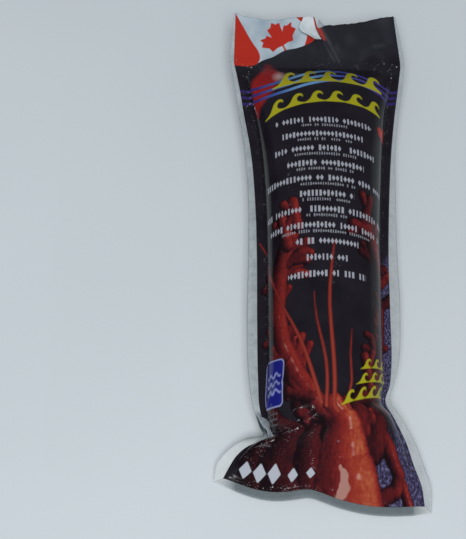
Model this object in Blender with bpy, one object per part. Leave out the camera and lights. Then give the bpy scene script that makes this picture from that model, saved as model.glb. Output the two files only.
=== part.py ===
"""A printed film pouch shrunk round a block of frozen seafood, lying on its back.

The pouch is two flat films welded along all four sides. The frozen block fills it to a loaf,
which leaves printed fins and clear weld margins at the sides, a fishtail foot at the lower end
and a torn header flap above the upper weld. Lengths are in millimetres until a mesh is made.
X runs across the pouch, +Y towards the header and +Z up from the surface it lies on.
"""

from dataclasses import astuple, dataclass, fields

import bmesh
import bpy
import numpy as np

MM = 0.001

FILM = 0.7  # wall of one film, which is stouter than the real one
LAP = 0.15  # half of the gap between the two films where they lie together
GAP = 0.3  # clearance between neighbouring pieces
WELD = 1.2  # thickness of the two films melted into one
WELD_GAP = 0.45  # clearance between a weld and the film that it edges, whose rims lean a little

COLUMNS = 16  # steps across each film, between its fins
FRONT_POWER = 2.15  # superellipse of the front film: 2 is an ellipse, more is squarer
BACK_POWER = 3.0

LIP = 2.0  # flat film beside the bottom and the top weld
FOOT_ROWS = (62.0, 13)  # the foot and the necks reach this far up, in so many rows
LOAF_ROWS = (216.0, 12)
SHOULDER_ROWS = 8
BLOCK_ENDS = (11.0, 258.0)  # the frozen block lies between these lengths along the pouch

REST_ENDS = (FOOT_ROWS[0], LOAF_ROWS[0])  # the underside rests between these lengths
REST_ACROSS = 0.4  # half-width of the part that rests, as a share of the loaf's half-width
REST_HOLLOW = 0.3  # how far its middle is off the table, so that it stands on its four corners
REST_RISE = 0.04  # slope of the underside beyond them

FOOT_WAVE = 4.8  # how far the two lobes of the bottom edge hang below a straight edge
FOOT_CREST = -0.14  # where the lobes meet, on a scale from -1 at the left edge to 1 at the right
FOOT_CREST_RISE = 4.5  # lift of the bottom edge at the crest
FOOT_CREST_WIDTH = 0.22  # half-width of that lift, on the same scale
FOOT_WAVE_ROUNDING = 0.03  # rounds the wave off at its corners and its crest
FOOT_REACH = 26.0  # how far up the pouch the wave is felt
BOTTOM_MARGIN = 5.2  # clear film below the print
BOTTOM_DROP = 1.0  # how far that film sinks towards its outer edge
CORNER_SHARE = 0.12  # share of each half of the bottom edge that turns round the corner

TOP_WELD = 5.0  # width of the weld across the top
HEADER_ROWS = 7
HEADER_OPENING = 0.9  # how far each header film stands off the middle at the torn edge
MARGIN_TAPER = 0.5  # share of the clear margins' width that is lost by the torn edge
HEADER_RISE = 6.5  # lift of the torn edge above the top weld
HEADER_LOBES = 1.2  # waves across the torn film
HEADER_LOBE_WIDTH = 16.0
HEADER_LOBE_TURN = 0.6  # where along its wave the film is, at the middle of the pouch
CREASE_FADE = 0.6  # how a crease grows shallower along its line: 1 is evenly


@dataclass(frozen=True)
class Crease:
    """A fold pressed into a film along a straight line, deepest at its start."""

    start: tuple[float, float]
    end: tuple[float, float]
    depth: float
    width: float

    def dent(self, points: np.ndarray) -> np.ndarray:
        """How deep the fold is under each point."""
        start, end = np.array(self.start), np.array(self.end)
        length = np.linalg.norm(end - start)
        line = (end - start) / length
        rel = points[:, :2] - start
        along = np.clip(rel @ line / length, 0, 1)
        away = np.linalg.norm(rel - np.outer(along * length, line), axis=1)
        return self.depth * (1 - along) ** CREASE_FADE * np.exp(-((away / self.width) ** 2))


NECK_CREASES = (
    Crease((-29.4, -116.5), (-5.0, -105.0), 4.2, 3.6),
    Crease((36.0, -97.5), (15.0, -100.5), 3.0, 4.2),
)
CREASE_FREE = 9.0  # rise of film above the seam over which a fold gains its full depth
HEADER_CREASE = Crease((2.6, 147.5), (17.5, 123.0), 3.0, 4.6)


@dataclass(frozen=True)
class Section:
    """One line across the pouch: where its print and its clear margins end, and its heights."""

    left_x: float  # left edge of the print
    left_y: float
    right_x: float  # right edge of the print
    right_y: float
    clear_left_x: float  # outer edge of the left clear margin
    clear_left_y: float
    clear_right_x: float
    clear_right_y: float
    seam: float  # height at which the two films meet
    crown: float  # rise of the front film above the seam
    belly: float  # depth of the back film below the seam
    fin: float  # width of the flat film between the loaf and the edge of the print
    droop: float  # drop of the fin and of the margin, each


SECTIONS = (
    # The fishtail foot, from its two corners up to the necks
    Section(-57.9, -137.1, 58.9, -153.5, -63.2, -139.0, 62.6, -157.2, 6.0, 0.0, 0.0, 2.0, 0.0),
    Section(-54.8, -131.5, 57.5, -142.5, -62.0, -129.6, 63.2, -144.8, 8.0, 5.5, 4.0, 2.5, 0.4),
    Section(-49.5, -124.0, 53.0, -130.0, -54.4, -120.4, 58.4, -128.0, 11.0, 13.0, 9.5, 3.0, 0.8),
    Section(-42.4, -119.1, 48.5, -116.5, -43.8, -114.5, 52.9, -114.3, 14.0, 20.0, 14.0, 3.0, 1.0),
    Section(-32.8, -116.6, 42.5, -104.5, -35.0, -113.6, 46.2, -102.6, 17.0, 24.0, 17.0, 2.5, 1.2),
    Section(-33.6, -110.0, 37.4, -95.0, -36.8, -108.3, 40.6, -93.4, 18.5, 25.5, 19.0, 3.0, 1.6),
    # The loaf round the frozen block
    Section(-36.6, -97.0, 40.1, -84.2, -40.9, -95.0, 43.2, -82.5, 20.0, 26.5, 20.5, 4.5, 2.0),
    Section(-37.2, -83.0, 41.4, -73.2, -42.7, -82.7, 46.0, -72.0, 21.0, 27.3, 21.4, 5.8, 2.6),
    Section(-37.5, -46.2, 42.0, -40.0, -43.9, -45.3, 48.8, -38.5, 22.5, 28.0, 23.0, 6.1, 3.2),
    Section(-37.4, -1.9, 42.6, -1.9, -42.9, -1.0, 48.6, -1.0, 23.0, 28.0, 23.0, 6.1, 3.4),
    Section(-38.3, 33.7, 44.6, 33.7, -42.7, 35.0, 49.3, 35.0, 23.0, 28.0, 23.0, 6.1, 3.4),
    Section(-41.0, 67.6, 47.4, 67.6, -45.0, 69.0, 50.6, 69.0, 23.5, 25.0, 23.5, 6.4, 3.2),
    # The shoulder, which flattens towards the top weld
    Section(-45.0, 91.3, 50.4, 91.3, -48.4, 92.3, 53.5, 92.8, 24.0, 20.0, 22.0, 6.6, 2.6),
    Section(-48.4, 112.0, 53.2, 109.6, -51.4, 112.6, 56.2, 110.6, 25.0, 11.0, 13.0, 5.0, 1.4),
    Section(-51.5, 126.5, 55.0, 122.5, -53.9, 127.3, 57.7, 124.1, 26.0, 0.0, 0.0, 3.0, 0.0),
)

# The torn edge of the header from left to right: x, y
TORN_EDGE = (
    (-50.4, 159.3),
    (-45.6, 156.6),
    (-38.0, 156.0),
    (-31.0, 154.8),
    (-22.0, 154.3),
    (-15.0, 155.4),
    (-9.0, 156.0),
    (-3.0, 156.4),
    (0.2, 155.6),
    (2.3, 148.4),
    (6.0, 149.5),
    (13.0, 149.2),
    (21.0, 150.0),
    (31.0, 152.0),
    (41.4, 154.5),
    (51.2, 156.6),
)
# The corner of film turned back beside the tear: the two ends of its fold, and its free tip
FOLD_ENDS = ((-2.4, 154.2), (3.8, 139.6))
FOLD_TIP = ((-8.4, 153.4), (-7.8, 144.4))
FOLD_STEPS = 4
FOLD_CLEAR = 2.9  # height of the turned corner's middle above the header's middle
FOLD_LIFT = 1.4  # how much higher its free tip stands

COLOURS = {  # red, green, blue, roughness
    "frozen_block": (0.62, 0.36, 0.30, 0.45),
    "front_film": (0.022, 0.018, 0.026, 0.28),
    "back_film": (0.022, 0.018, 0.026, 0.30),
    "clear": (0.60, 0.66, 0.68, 0.22),
    "header": (0.030, 0.026, 0.034, 0.30),
    "bare_film": (0.74, 0.78, 0.80, 0.35),
}


def clear_scene() -> None:
    for obj in list(bpy.data.objects):
        bpy.data.objects.remove(obj, do_unlink=True)


def film_material(name: str) -> bpy.types.Material:
    """A plain material in the colour and roughness that COLOURS gives to this name."""
    if name in bpy.data.materials:
        return bpy.data.materials[name]
    material = bpy.data.materials.new(name)
    material.use_nodes = True
    shader = material.node_tree.nodes["Principled BSDF"]
    red, green, blue, roughness = COLOURS[name]
    shader.inputs["Base Color"].default_value = (red, green, blue, 1.0)
    shader.inputs["Roughness"].default_value = roughness
    shader.inputs["Metallic"].default_value = 0.0
    return material


def smooth_through(knots: np.ndarray, values: np.ndarray, places: np.ndarray) -> np.ndarray:
    """A smooth curve through the values at the knots, read at the places."""
    slopes = np.gradient(values, knots, axis=0)
    low = np.clip(np.searchsorted(knots, places) - 1, 0, len(knots) - 2)
    step = (knots[low + 1] - knots[low])[:, None]
    t = (places - knots[low])[:, None] / step
    start, end = values[low], values[low + 1]
    bend = (2 * t**3 - 3 * t**2 + 1) * start + (3 * t**2 - 2 * t**3) * end
    return bend + step * ((t**3 - 2 * t**2 + t) * slopes[low] + (t**3 - t**2) * slopes[low + 1])


def middle_path(table: np.ndarray) -> np.ndarray:
    """Length along the pouch's middle at each section, from the bottom weld."""
    middle = (table[:, 0:2] + table[:, 2:4]) / 2
    return np.concatenate([[0.0], np.cumsum(np.linalg.norm(np.diff(middle, axis=0), axis=1))])


TABLE = np.array([astuple(section) for section in SECTIONS])
PATH = middle_path(TABLE)
LENGTH = PATH[-1]
HEIGHTS = [i for i, field in enumerate(fields(Section)) if field.name in ("crown", "belly")]


def rows_at(places: np.ndarray) -> list[Section]:
    """Sections at these lengths along the pouch, flat beside the bottom and the top weld."""
    found = smooth_through(PATH, TABLE, places)
    past_lip = np.clip((places - LIP) / (LENGTH - 2 * LIP), 0, 1) * LENGTH
    found[:, HEIGHTS] = smooth_through(PATH, TABLE, past_lip)[:, HEIGHTS]
    return [Section(*values) for values in found]


def film_places() -> np.ndarray:
    """Where the films' rows lie along the pouch."""
    foot = np.linspace(LIP, FOOT_ROWS[0], FOOT_ROWS[1] + 1)
    loaf = np.linspace(FOOT_ROWS[0], LOAF_ROWS[0], LOAF_ROWS[1] + 1)[1:]
    shoulder = np.linspace(LOAF_ROWS[0], LENGTH - LIP, SHOULDER_ROWS + 1)[1:]
    return np.concatenate([[0.0], foot, loaf, shoulder, [LENGTH]])


def foot_wave(points: np.ndarray, section: Section, along: float) -> np.ndarray:
    """Lowers and lifts one row of points as the wavy bottom edge asks, less and less up the pouch."""
    weight = max(0.0, 1 - along / FOOT_REACH) ** 2
    share = (points[:, 0] - section.left_x) / (section.right_x - section.left_x)
    across = np.clip(2 * share - 1, -1, 1)
    left = across < FOOT_CREST
    lobe = np.where(left, (across + 1) / (FOOT_CREST + 1), (across - FOOT_CREST) / (1 - FOOT_CREST))
    hang = np.sqrt(np.sin(np.pi * lobe) ** 2 + FOOT_WAVE_ROUNDING) - np.sqrt(FOOT_WAVE_ROUNDING)
    lift = np.exp(-(((across - FOOT_CREST) / FOOT_CREST_WIDTH) ** 2))
    points[:, 1] -= weight * FOOT_WAVE * hang
    points[:, 2] += weight * FOOT_CREST_RISE * lift
    return points


def underside(across: np.ndarray, along: float) -> np.ndarray:
    """Lowest height of the inner face, which is hollow between the four corners that it rests on."""
    half = (REST_ENDS[1] - REST_ENDS[0]) / 2
    away = abs(along - REST_ENDS[0] - half)
    spread = np.clip(across / REST_ACROSS, -1, 1) ** 2 + min(1.0, away / half) ** 2
    return FILM + REST_HOLLOW * (1 - spread / 2) + REST_RISE * max(0.0, away - half)


def film_row(section: Section, along: float, side: int, inset: float = 0.0) -> np.ndarray:
    """One row of a film's inner face: the left fin's edge, the loaf, the right fin's edge.

    side is 1 for the front film and -1 for the back one, and inset draws the loaf in.
    """
    left = np.array([section.left_x, section.left_y])
    right = np.array([section.right_x, section.right_y])
    outwards = (right - left) / np.linalg.norm(right - left)
    middle = (left + right) / 2
    half = np.linalg.norm(right - left) / 2 - section.fin - inset
    turn = np.linspace(-np.pi / 2, np.pi / 2, COLUMNS + 1)
    across = np.sign(turn) * np.abs(np.sin(turn)) ** (2 / FRONT_POWER)
    height, power = (section.crown, FRONT_POWER) if side > 0 else (section.belly, BACK_POWER)
    rise = max(0.0, height - inset) * (1 - np.abs(across) ** power).clip(0, 1) ** (1 / power)
    heights = section.seam + side * (LAP + rise)
    loaf = np.column_stack([middle + np.outer(half * across, outwards), heights])
    loaf[:, 2] = np.maximum(loaf[:, 2], underside(across, along) + inset)
    if side > 0:
        dent = sum(crease.dent(loaf) for crease in NECK_CREASES)
        loaf[:, 2] -= dent * np.clip(rise / CREASE_FREE, 0, 1)
    edge = section.seam - section.droop + side * LAP
    row = np.vstack([[*left, edge], loaf, [*right, edge]])
    return foot_wave(row, section, along)


def margin_row(section: Section, along: float, left_side: bool) -> np.ndarray:
    """The inner and outer point of one side's clear margin."""
    if left_side:
        inner = (section.left_x, section.left_y, section.seam - section.droop)
        outer = (section.clear_left_x, section.clear_left_y, section.seam - 2 * section.droop)
    else:
        inner = (section.right_x, section.right_y, section.seam - section.droop)
        outer = (section.clear_right_x, section.clear_right_y, section.seam - 2 * section.droop)
    points = np.array([inner, outer])
    points[0] += WELD_GAP * (points[1] - points[0]) / np.linalg.norm(points[1] - points[0])
    return points


def bottom_margin_rows() -> np.ndarray:
    """Two rows of points below the print: the inner and the outer edge of the bottom weld."""
    section = SECTIONS[0]
    inner = film_row(section, 0.0, 1)
    inner[:, 2] -= LAP
    half = (section.right_x - section.left_x) / 2
    across = (inner[:, 0] - section.left_x) / half - 1
    turned = np.clip((np.abs(across) - 1 + CORNER_SHARE) / CORNER_SHARE, 0, 1)[:, None]
    corner_left = (section.clear_left_x - section.left_x, section.clear_left_y - section.left_y, 0.0)
    corner_right = (section.clear_right_x - section.right_x, section.clear_right_y - section.right_y, 0.0)
    corner = np.where(across[:, None] < 0, corner_left, corner_right)
    reach = (1 - turned) * np.array([0.0, -BOTTOM_MARGIN, -BOTTOM_DROP]) + turned * corner
    length = np.linalg.norm(reach, axis=1)[:, None]
    return np.stack([inner + WELD_GAP * reach / length, inner + reach])


def header_surface(points: np.ndarray, lift: np.ndarray) -> np.ndarray:
    """Gives flat header points their height: lift is 0 at the top weld and 1 at the torn edge."""
    lobes = HEADER_LOBES * np.sin(points[:, 0] / HEADER_LOBE_WIDTH + HEADER_LOBE_TURN)
    bend = (lobes - HEADER_CREASE.dent(points)) * np.sin(np.pi * lift / 2)
    height = SECTIONS[-1].seam + HEADER_RISE * lift + bend
    return np.column_stack([points, height])


def header_rows(side: int) -> np.ndarray:
    """One header film's inner face, row by row from the top weld to the torn edge."""
    last = SECTIONS[-1]
    torn = np.array(TORN_EDGE)
    share = (torn[:, 0] - torn[0, 0]) / (torn[-1, 0] - torn[0, 0])
    low_left = np.array([last.left_x, last.left_y + TOP_WELD])
    low_right = np.array([last.right_x, last.right_y + TOP_WELD])
    low = low_left + share[:, None] * (low_right - low_left)
    rows = []
    for lift in np.linspace(0, 1, HEADER_ROWS + 1):
        flat = low + lift * (torn - low)
        surface = header_surface(flat, np.full(len(flat), lift))
        surface[:, 2] += side * (LAP + HEADER_OPENING * lift)
        rows.append(surface)
    return np.array(rows)


def header_margin_rows(left_side: bool) -> list[np.ndarray]:
    """The inner and outer points of one side's clear margin, from the top weld to the torn edge."""
    last = SECTIONS[-1]
    if left_side:
        wide, skew = last.clear_left_x - last.left_x, last.clear_left_y - last.left_y
    else:
        wide, skew = last.clear_right_x - last.right_x, last.clear_right_y - last.right_y
    middle = (header_rows(1) + header_rows(-1))[:, 0 if left_side else -1] / 2
    rows = []
    for lift, inner in zip(np.linspace(0, 1, HEADER_ROWS + 1), middle):
        reach = (1 - MARGIN_TAPER * lift**2) * np.array([wide, skew * (1 - lift), 0.0])
        rows.append(np.array([inner + WELD_GAP * reach / np.linalg.norm(reach), inner + reach]))
    return rows


def folded_corner_rows() -> np.ndarray:
    """The turned-back corner of film, from its fold to its free tip."""
    fold, tip = np.array(FOLD_ENDS), np.array(FOLD_TIP)
    across = np.linspace(0, 1, FOLD_STEPS + 1)[:, None]
    rows = []
    for out in np.linspace(0, 1, FOLD_STEPS + 1):
        ends = fold + out * (tip - fold)
        flat = ends[0] + across * (ends[1] - ends[0])
        low = SECTIONS[-1].right_y + TOP_WELD
        lift = (flat[:, 1] - low) / (FOLD_ENDS[0][1] - low)
        surface = header_surface(flat, lift)
        surface[:, 2] += FOLD_CLEAR + HEADER_OPENING * lift + FOLD_LIFT * out**2
        rows.append(surface)
    return np.array(rows)


def sheet(name: str, rows: np.ndarray, thickness: float, offset: float, upwards: bool, colour: str) -> None:
    """A thin closed piece: a grid of points, split alike on both faces, and given its thickness.

    Args:
        rows: points in millimetres, one array for each row.
        offset: 1 puts the thickness on the side that the faces look to, 0 half on each.
        upwards: whether the faces look up, or down.
    """
    mesh = bpy.data.meshes.new(name)
    grid = bmesh.new()
    lines = [[grid.verts.new(point * MM) for point in row] for row in rows]
    for near, far in zip(lines, lines[1:]):
        for i in range(len(near) - 1):
            sides = (near[i + 1], far[i]) if upwards else (far[i], near[i + 1])
            grid.faces.new((near[i], sides[0], far[i + 1], sides[1]))
    bmesh.ops.triangulate(grid, faces=grid.faces, quad_method="FIXED")
    grid.to_mesh(mesh)
    grid.free()
    mesh.shade_smooth()
    piece = bpy.data.objects.new(name, mesh)
    bpy.context.scene.collection.objects.link(piece)
    wall = piece.modifiers.new("wall", "SOLIDIFY")
    wall.thickness = thickness * MM
    wall.offset = offset
    mesh.materials.append(film_material(colour))


def frozen_block() -> None:
    """The frozen block: rings abreast of both films' rows, just inside them, with flat ends."""
    places = film_places()
    places = places[(places > BLOCK_ENDS[0]) & (places < BLOCK_ENDS[1])]
    block = bmesh.new()
    rings = []
    for section, along in zip(rows_at(places), places):
        over = film_row(section, along, 1, GAP)[1:-1]
        under = film_row(section, along, -1, GAP)[1:-1][::-1]
        rings.append([block.verts.new(point * MM) for point in np.vstack([over, under])])
    for near, far in zip(rings, rings[1:]):
        for i in range(len(near)):
            after = (i + 1) % len(near)
            quad = (near[i], near[after], far[after], far[i])
            # Split from the left of the lower ring to the right of the upper one, as the films are
            block.faces.new(quad if i <= COLUMNS else quad[1:] + quad[:1])
    block.faces.new(rings[0][::-1])
    block.faces.new(rings[-1])
    bmesh.ops.triangulate(block, faces=block.faces, quad_method="FIXED")
    bmesh.ops.recalc_face_normals(block, faces=block.faces)
    mesh = bpy.data.meshes.new("frozen_block")
    block.to_mesh(mesh)
    block.free()
    mesh.shade_smooth()
    mesh.materials.append(film_material("frozen_block"))
    bpy.context.scene.collection.objects.link(bpy.data.objects.new("frozen_block", mesh))


def films() -> None:
    """The printed front film and the plain back film, from weld to weld."""
    places = film_places()
    sections = rows_at(places)
    for name, side in (("front_film", 1), ("back_film", -1)):
        rows = np.array([film_row(section, along, side) for section, along in zip(sections, places)])
        sheet(name, rows, FILM, 1.0, side > 0, name)


def side_welds() -> None:
    """The clear margins beside the pouch, from the bottom corners up to the top of the header."""
    places = film_places()
    places[0] += 2 * GAP
    for name, left_side in (("side_weld_left", True), ("side_weld_right", False)):
        rows = [margin_row(section, along, left_side) for section, along in zip(rows_at(places), places)]
        rows += header_margin_rows(left_side)
        sheet(name, np.array(rows), WELD, 0.0, not left_side, "clear")


def bottom_weld() -> None:
    """The clear margin along the foot, round both its corners."""
    sheet("bottom_weld", bottom_margin_rows(), WELD, 0.0, False, "clear")


def top_weld() -> None:
    """The printed weld across the top of the loaf."""
    last = SECTIONS[-1]
    across = np.linspace(0, 1, COLUMNS + 1)[:, None]
    left = np.array([last.left_x, last.left_y, last.seam])
    right = np.array([last.right_x, last.right_y, last.seam])
    low = left + across * (right - left)
    rows = np.stack([low + [0, WELD_GAP, 0], low + [0, TOP_WELD - WELD_GAP, 0]])
    sheet("top_weld", rows, WELD, 0.0, True, "header")


def header() -> None:
    """The two torn films above the top weld, and the corner that is turned back."""
    sheet("header_front", header_rows(1), FILM, 1.0, True, "header")
    sheet("header_back", header_rows(-1), FILM, 1.0, False, "header")
    sheet("folded_corner", folded_corner_rows(), FILM, 1.0, True, "bare_film")


def main() -> None:
    clear_scene()
    frozen_block()
    films()
    side_welds()
    bottom_weld()
    top_weld()
    header()


main()
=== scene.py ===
"""Looks for a frozen seafood pouch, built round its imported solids.

The pouch lies on its back: X runs across it, +Y along it to the torn header and +Z up out of its
printed front. Lengths are in millimetres until a mesh gets its points. The print is laid out on
the flat film, in millimetres across it from its middle and along it from the bottom weld.
"""

import logging
import math
from dataclasses import astuple, dataclass, field, fields
from enum import Enum

import bpy
import numpy as np
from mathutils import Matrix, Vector, noise


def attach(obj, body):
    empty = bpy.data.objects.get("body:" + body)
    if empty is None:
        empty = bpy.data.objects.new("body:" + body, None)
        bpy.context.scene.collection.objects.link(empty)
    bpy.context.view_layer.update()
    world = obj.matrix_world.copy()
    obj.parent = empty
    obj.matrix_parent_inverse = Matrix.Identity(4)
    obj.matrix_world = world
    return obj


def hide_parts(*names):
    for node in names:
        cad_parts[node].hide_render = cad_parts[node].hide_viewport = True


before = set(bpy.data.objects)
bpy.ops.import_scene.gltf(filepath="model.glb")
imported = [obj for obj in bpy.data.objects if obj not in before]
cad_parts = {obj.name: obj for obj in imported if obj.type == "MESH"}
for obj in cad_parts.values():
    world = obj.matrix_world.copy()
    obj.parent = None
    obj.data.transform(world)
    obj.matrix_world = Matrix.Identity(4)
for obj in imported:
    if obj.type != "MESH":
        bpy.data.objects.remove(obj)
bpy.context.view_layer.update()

logging.basicConfig(level=logging.INFO, format="%(name)s: %(message)s")
LOG = logging.getLogger("pouch")
MM = 0.001
Array = np.ndarray
Pair = tuple[float, float]
Triple = tuple[float, float, float]
Material = bpy.types.Material
Socket = bpy.types.NodeSocket


class Side(Enum):
    """The two films of the pouch, by the way that each one faces."""

    FRONT = 1
    BACK = -1


# ---------------------------------------------------------------- the pouch's own shape


@dataclass(frozen=True)
class Section:
    """One line across the pouch, or an array of lines, with the same sizes as in the CAD source."""

    left_x: float
    left_y: float
    right_x: float
    right_y: float
    clear_left_x: float
    clear_left_y: float
    clear_right_x: float
    clear_right_y: float
    seam: float
    crown: float
    belly: float
    fin: float
    droop: float


SECTIONS = (
    # The fishtail foot, from its two corners up to the necks
    Section(-57.9, -137.1, 58.9, -153.5, -63.2, -139.0, 62.6, -157.2, 6.0, 0.0, 0.0, 2.0, 0.0),
    Section(-54.8, -131.5, 57.5, -142.5, -62.0, -129.6, 63.2, -144.8, 8.0, 5.5, 4.0, 2.5, 0.4),
    Section(-49.5, -124.0, 53.0, -130.0, -54.4, -120.4, 58.4, -128.0, 11.0, 13.0, 9.5, 3.0, 0.8),
    Section(-42.4, -119.1, 48.5, -116.5, -43.8, -114.5, 52.9, -114.3, 14.0, 20.0, 14.0, 3.0, 1.0),
    Section(-32.8, -116.6, 42.5, -104.5, -35.0, -113.6, 46.2, -102.6, 17.0, 24.0, 17.0, 2.5, 1.2),
    Section(-33.6, -110.0, 37.4, -95.0, -36.8, -108.3, 40.6, -93.4, 18.5, 25.5, 19.0, 3.0, 1.6),
    # The loaf round the frozen block
    Section(-36.6, -97.0, 40.1, -84.2, -40.9, -95.0, 43.2, -82.5, 20.0, 26.5, 20.5, 4.5, 2.0),
    Section(-37.2, -83.0, 41.4, -73.2, -42.7, -82.7, 46.0, -72.0, 21.0, 27.3, 21.4, 5.8, 2.6),
    Section(-37.5, -46.2, 42.0, -40.0, -43.9, -45.3, 48.8, -38.5, 22.5, 28.0, 23.0, 6.1, 3.2),
    Section(-37.4, -1.9, 42.6, -1.9, -42.9, -1.0, 48.6, -1.0, 23.0, 28.0, 23.0, 6.1, 3.4),
    Section(-38.3, 33.7, 44.6, 33.7, -42.7, 35.0, 49.3, 35.0, 23.0, 28.0, 23.0, 6.1, 3.4),
    Section(-41.0, 67.6, 47.4, 67.6, -45.0, 69.0, 50.6, 69.0, 23.5, 25.0, 23.5, 6.4, 3.2),
    # The shoulder, which flattens towards the top weld
    Section(-45.0, 91.3, 50.4, 91.3, -48.4, 92.3, 53.5, 92.8, 24.0, 20.0, 22.0, 6.6, 2.6),
    Section(-48.4, 112.0, 53.2, 109.6, -51.4, 112.6, 56.2, 110.6, 25.0, 11.0, 13.0, 5.0, 1.4),
    Section(-51.5, 126.5, 55.0, 122.5, -53.9, 127.3, 57.7, 124.1, 26.0, 0.0, 0.0, 3.0, 0.0),
)
HEIGHTS = [i for i, each in enumerate(fields(Section)) if each.name in ("crown", "belly")]

# The torn edge of the header from left to right: x, y
TORN_EDGE = (
    (-50.4, 159.3), (-45.6, 156.6), (-38.0, 156.0), (-31.0, 154.8), (-22.0, 154.3), (-15.0, 155.4),
    (-9.0, 156.0), (-3.0, 156.4), (0.2, 155.6), (2.3, 148.4), (6.0, 149.5), (13.0, 149.2),
    (21.0, 150.0), (31.0, 152.0), (41.4, 154.5), (51.2, 156.6),
)  # fmt: skip
# Where the white lining stands out past it, as torn tips: x, and how far
LINING = (
    (-50.4, 0.3), (-46, 0.4), (-20, 0.5), (-4, 0.3), (-1.4, 0.3), (-0.4, 0.6), (0.3, 0.5), (2.2, 0.3),
    (2.7, 3.4), (3.3, 5.9), (4.6, 3.2), (6.8, 0.7), (12, 0.5), (40, 0.5), (51.2, 0.2),
)  # fmt: skip


@dataclass(frozen=True)
class Crease:
    """A straight fold, deepest at its start. A negative depth makes it a ridge."""

    start: Pair
    end: Pair
    depth: float
    width: float
    fade: float = 0.6

    def dent(self, x: Array, y: Array) -> Array:
        """How deep the fold is under each point.

        Args:
            x: one coordinate of the points.
            y: their other coordinate.

        Returns:
            The depths in millimetres, in the shape of x.
        """
        line_x, line_y = self.end[0] - self.start[0], self.end[1] - self.start[1]
        length = math.hypot(line_x, line_y)
        line_x, line_y = line_x / length, line_y / length
        along = np.clip(((x - self.start[0]) * line_x + (y - self.start[1]) * line_y) / length, 0, 1)
        away_x = x - self.start[0] - along * length * line_x
        away_y = y - self.start[1] - along * length * line_y
        away = (away_x**2 + away_y**2) / self.width**2
        return self.depth * (1 - along) ** self.fade * np.exp(-away)


def chance(points: Array, grain: float, seed: float) -> Array:
    """Smooth chance values between about -1 and 1.

    Args:
        points: rows of two or three coordinates, in millimetres.
        grain: size of the smallest swell, in millimetres.
        seed: picks the pattern.

    Returns:
        One value for each point.
    """
    flat = np.zeros((points[..., 0].size, 3))
    flat[:, : points.shape[-1]] = points.reshape(-1, points.shape[-1]) / grain
    flat[:, 2] += seed
    values = np.fromiter((noise.noise(Vector(place)) for place in flat), float, len(flat))
    return values.reshape(points.shape[:-1])


def smooth_through(knots: Array, values: Array, places: Array) -> Array:
    """A smooth curve through the values at the knots.

    Args:
        knots: rising places of the known values.
        values: one row of values for each knot.
        places: where the curve is read.

    Returns:
        One row of values for each place.
    """
    slopes = np.gradient(values, knots, axis=0)
    low = np.clip(np.searchsorted(knots, places) - 1, 0, len(knots) - 2)
    step = (knots[low + 1] - knots[low])[:, None]
    t = (places - knots[low])[:, None] / step
    bend = (2 * t**3 - 3 * t**2 + 1) * values[low] + (3 * t**2 - 2 * t**3) * values[low + 1]
    return bend + step * ((t**3 - 2 * t**2 + t) * slopes[low] + (t**3 - t**2) * slopes[low + 1])


def read_rows(wanted: Array, known: Array, lines: Array) -> Array:
    """Points read off lines of known points, row by row.

    Args:
        wanted: the places to read, in rows.
        known: the places of the known points, in rows.
        lines: the known points, in rows.

    Returns:
        One row of points for each row of wanted places.
    """
    points = np.empty((*wanted.shape, 3))
    for row, (there, places, line) in enumerate(zip(wanted, known, lines)):
        for axis in range(3):
            points[row, :, axis] = np.interp(there, places, line[:, axis])
    return points


@dataclass
class Film:
    """Points of one film in rows from the bottom weld up, and where each lies on the flat film."""

    points: Array
    across: Array
    along: Array

    def normals(self) -> Array:
        """The direction that the film faces at each point, for rows that run to the right and up."""
        facing = np.cross(np.gradient(self.points, axis=1), np.gradient(self.points, axis=0))
        return facing / np.linalg.norm(facing, axis=2, keepdims=True)


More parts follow.
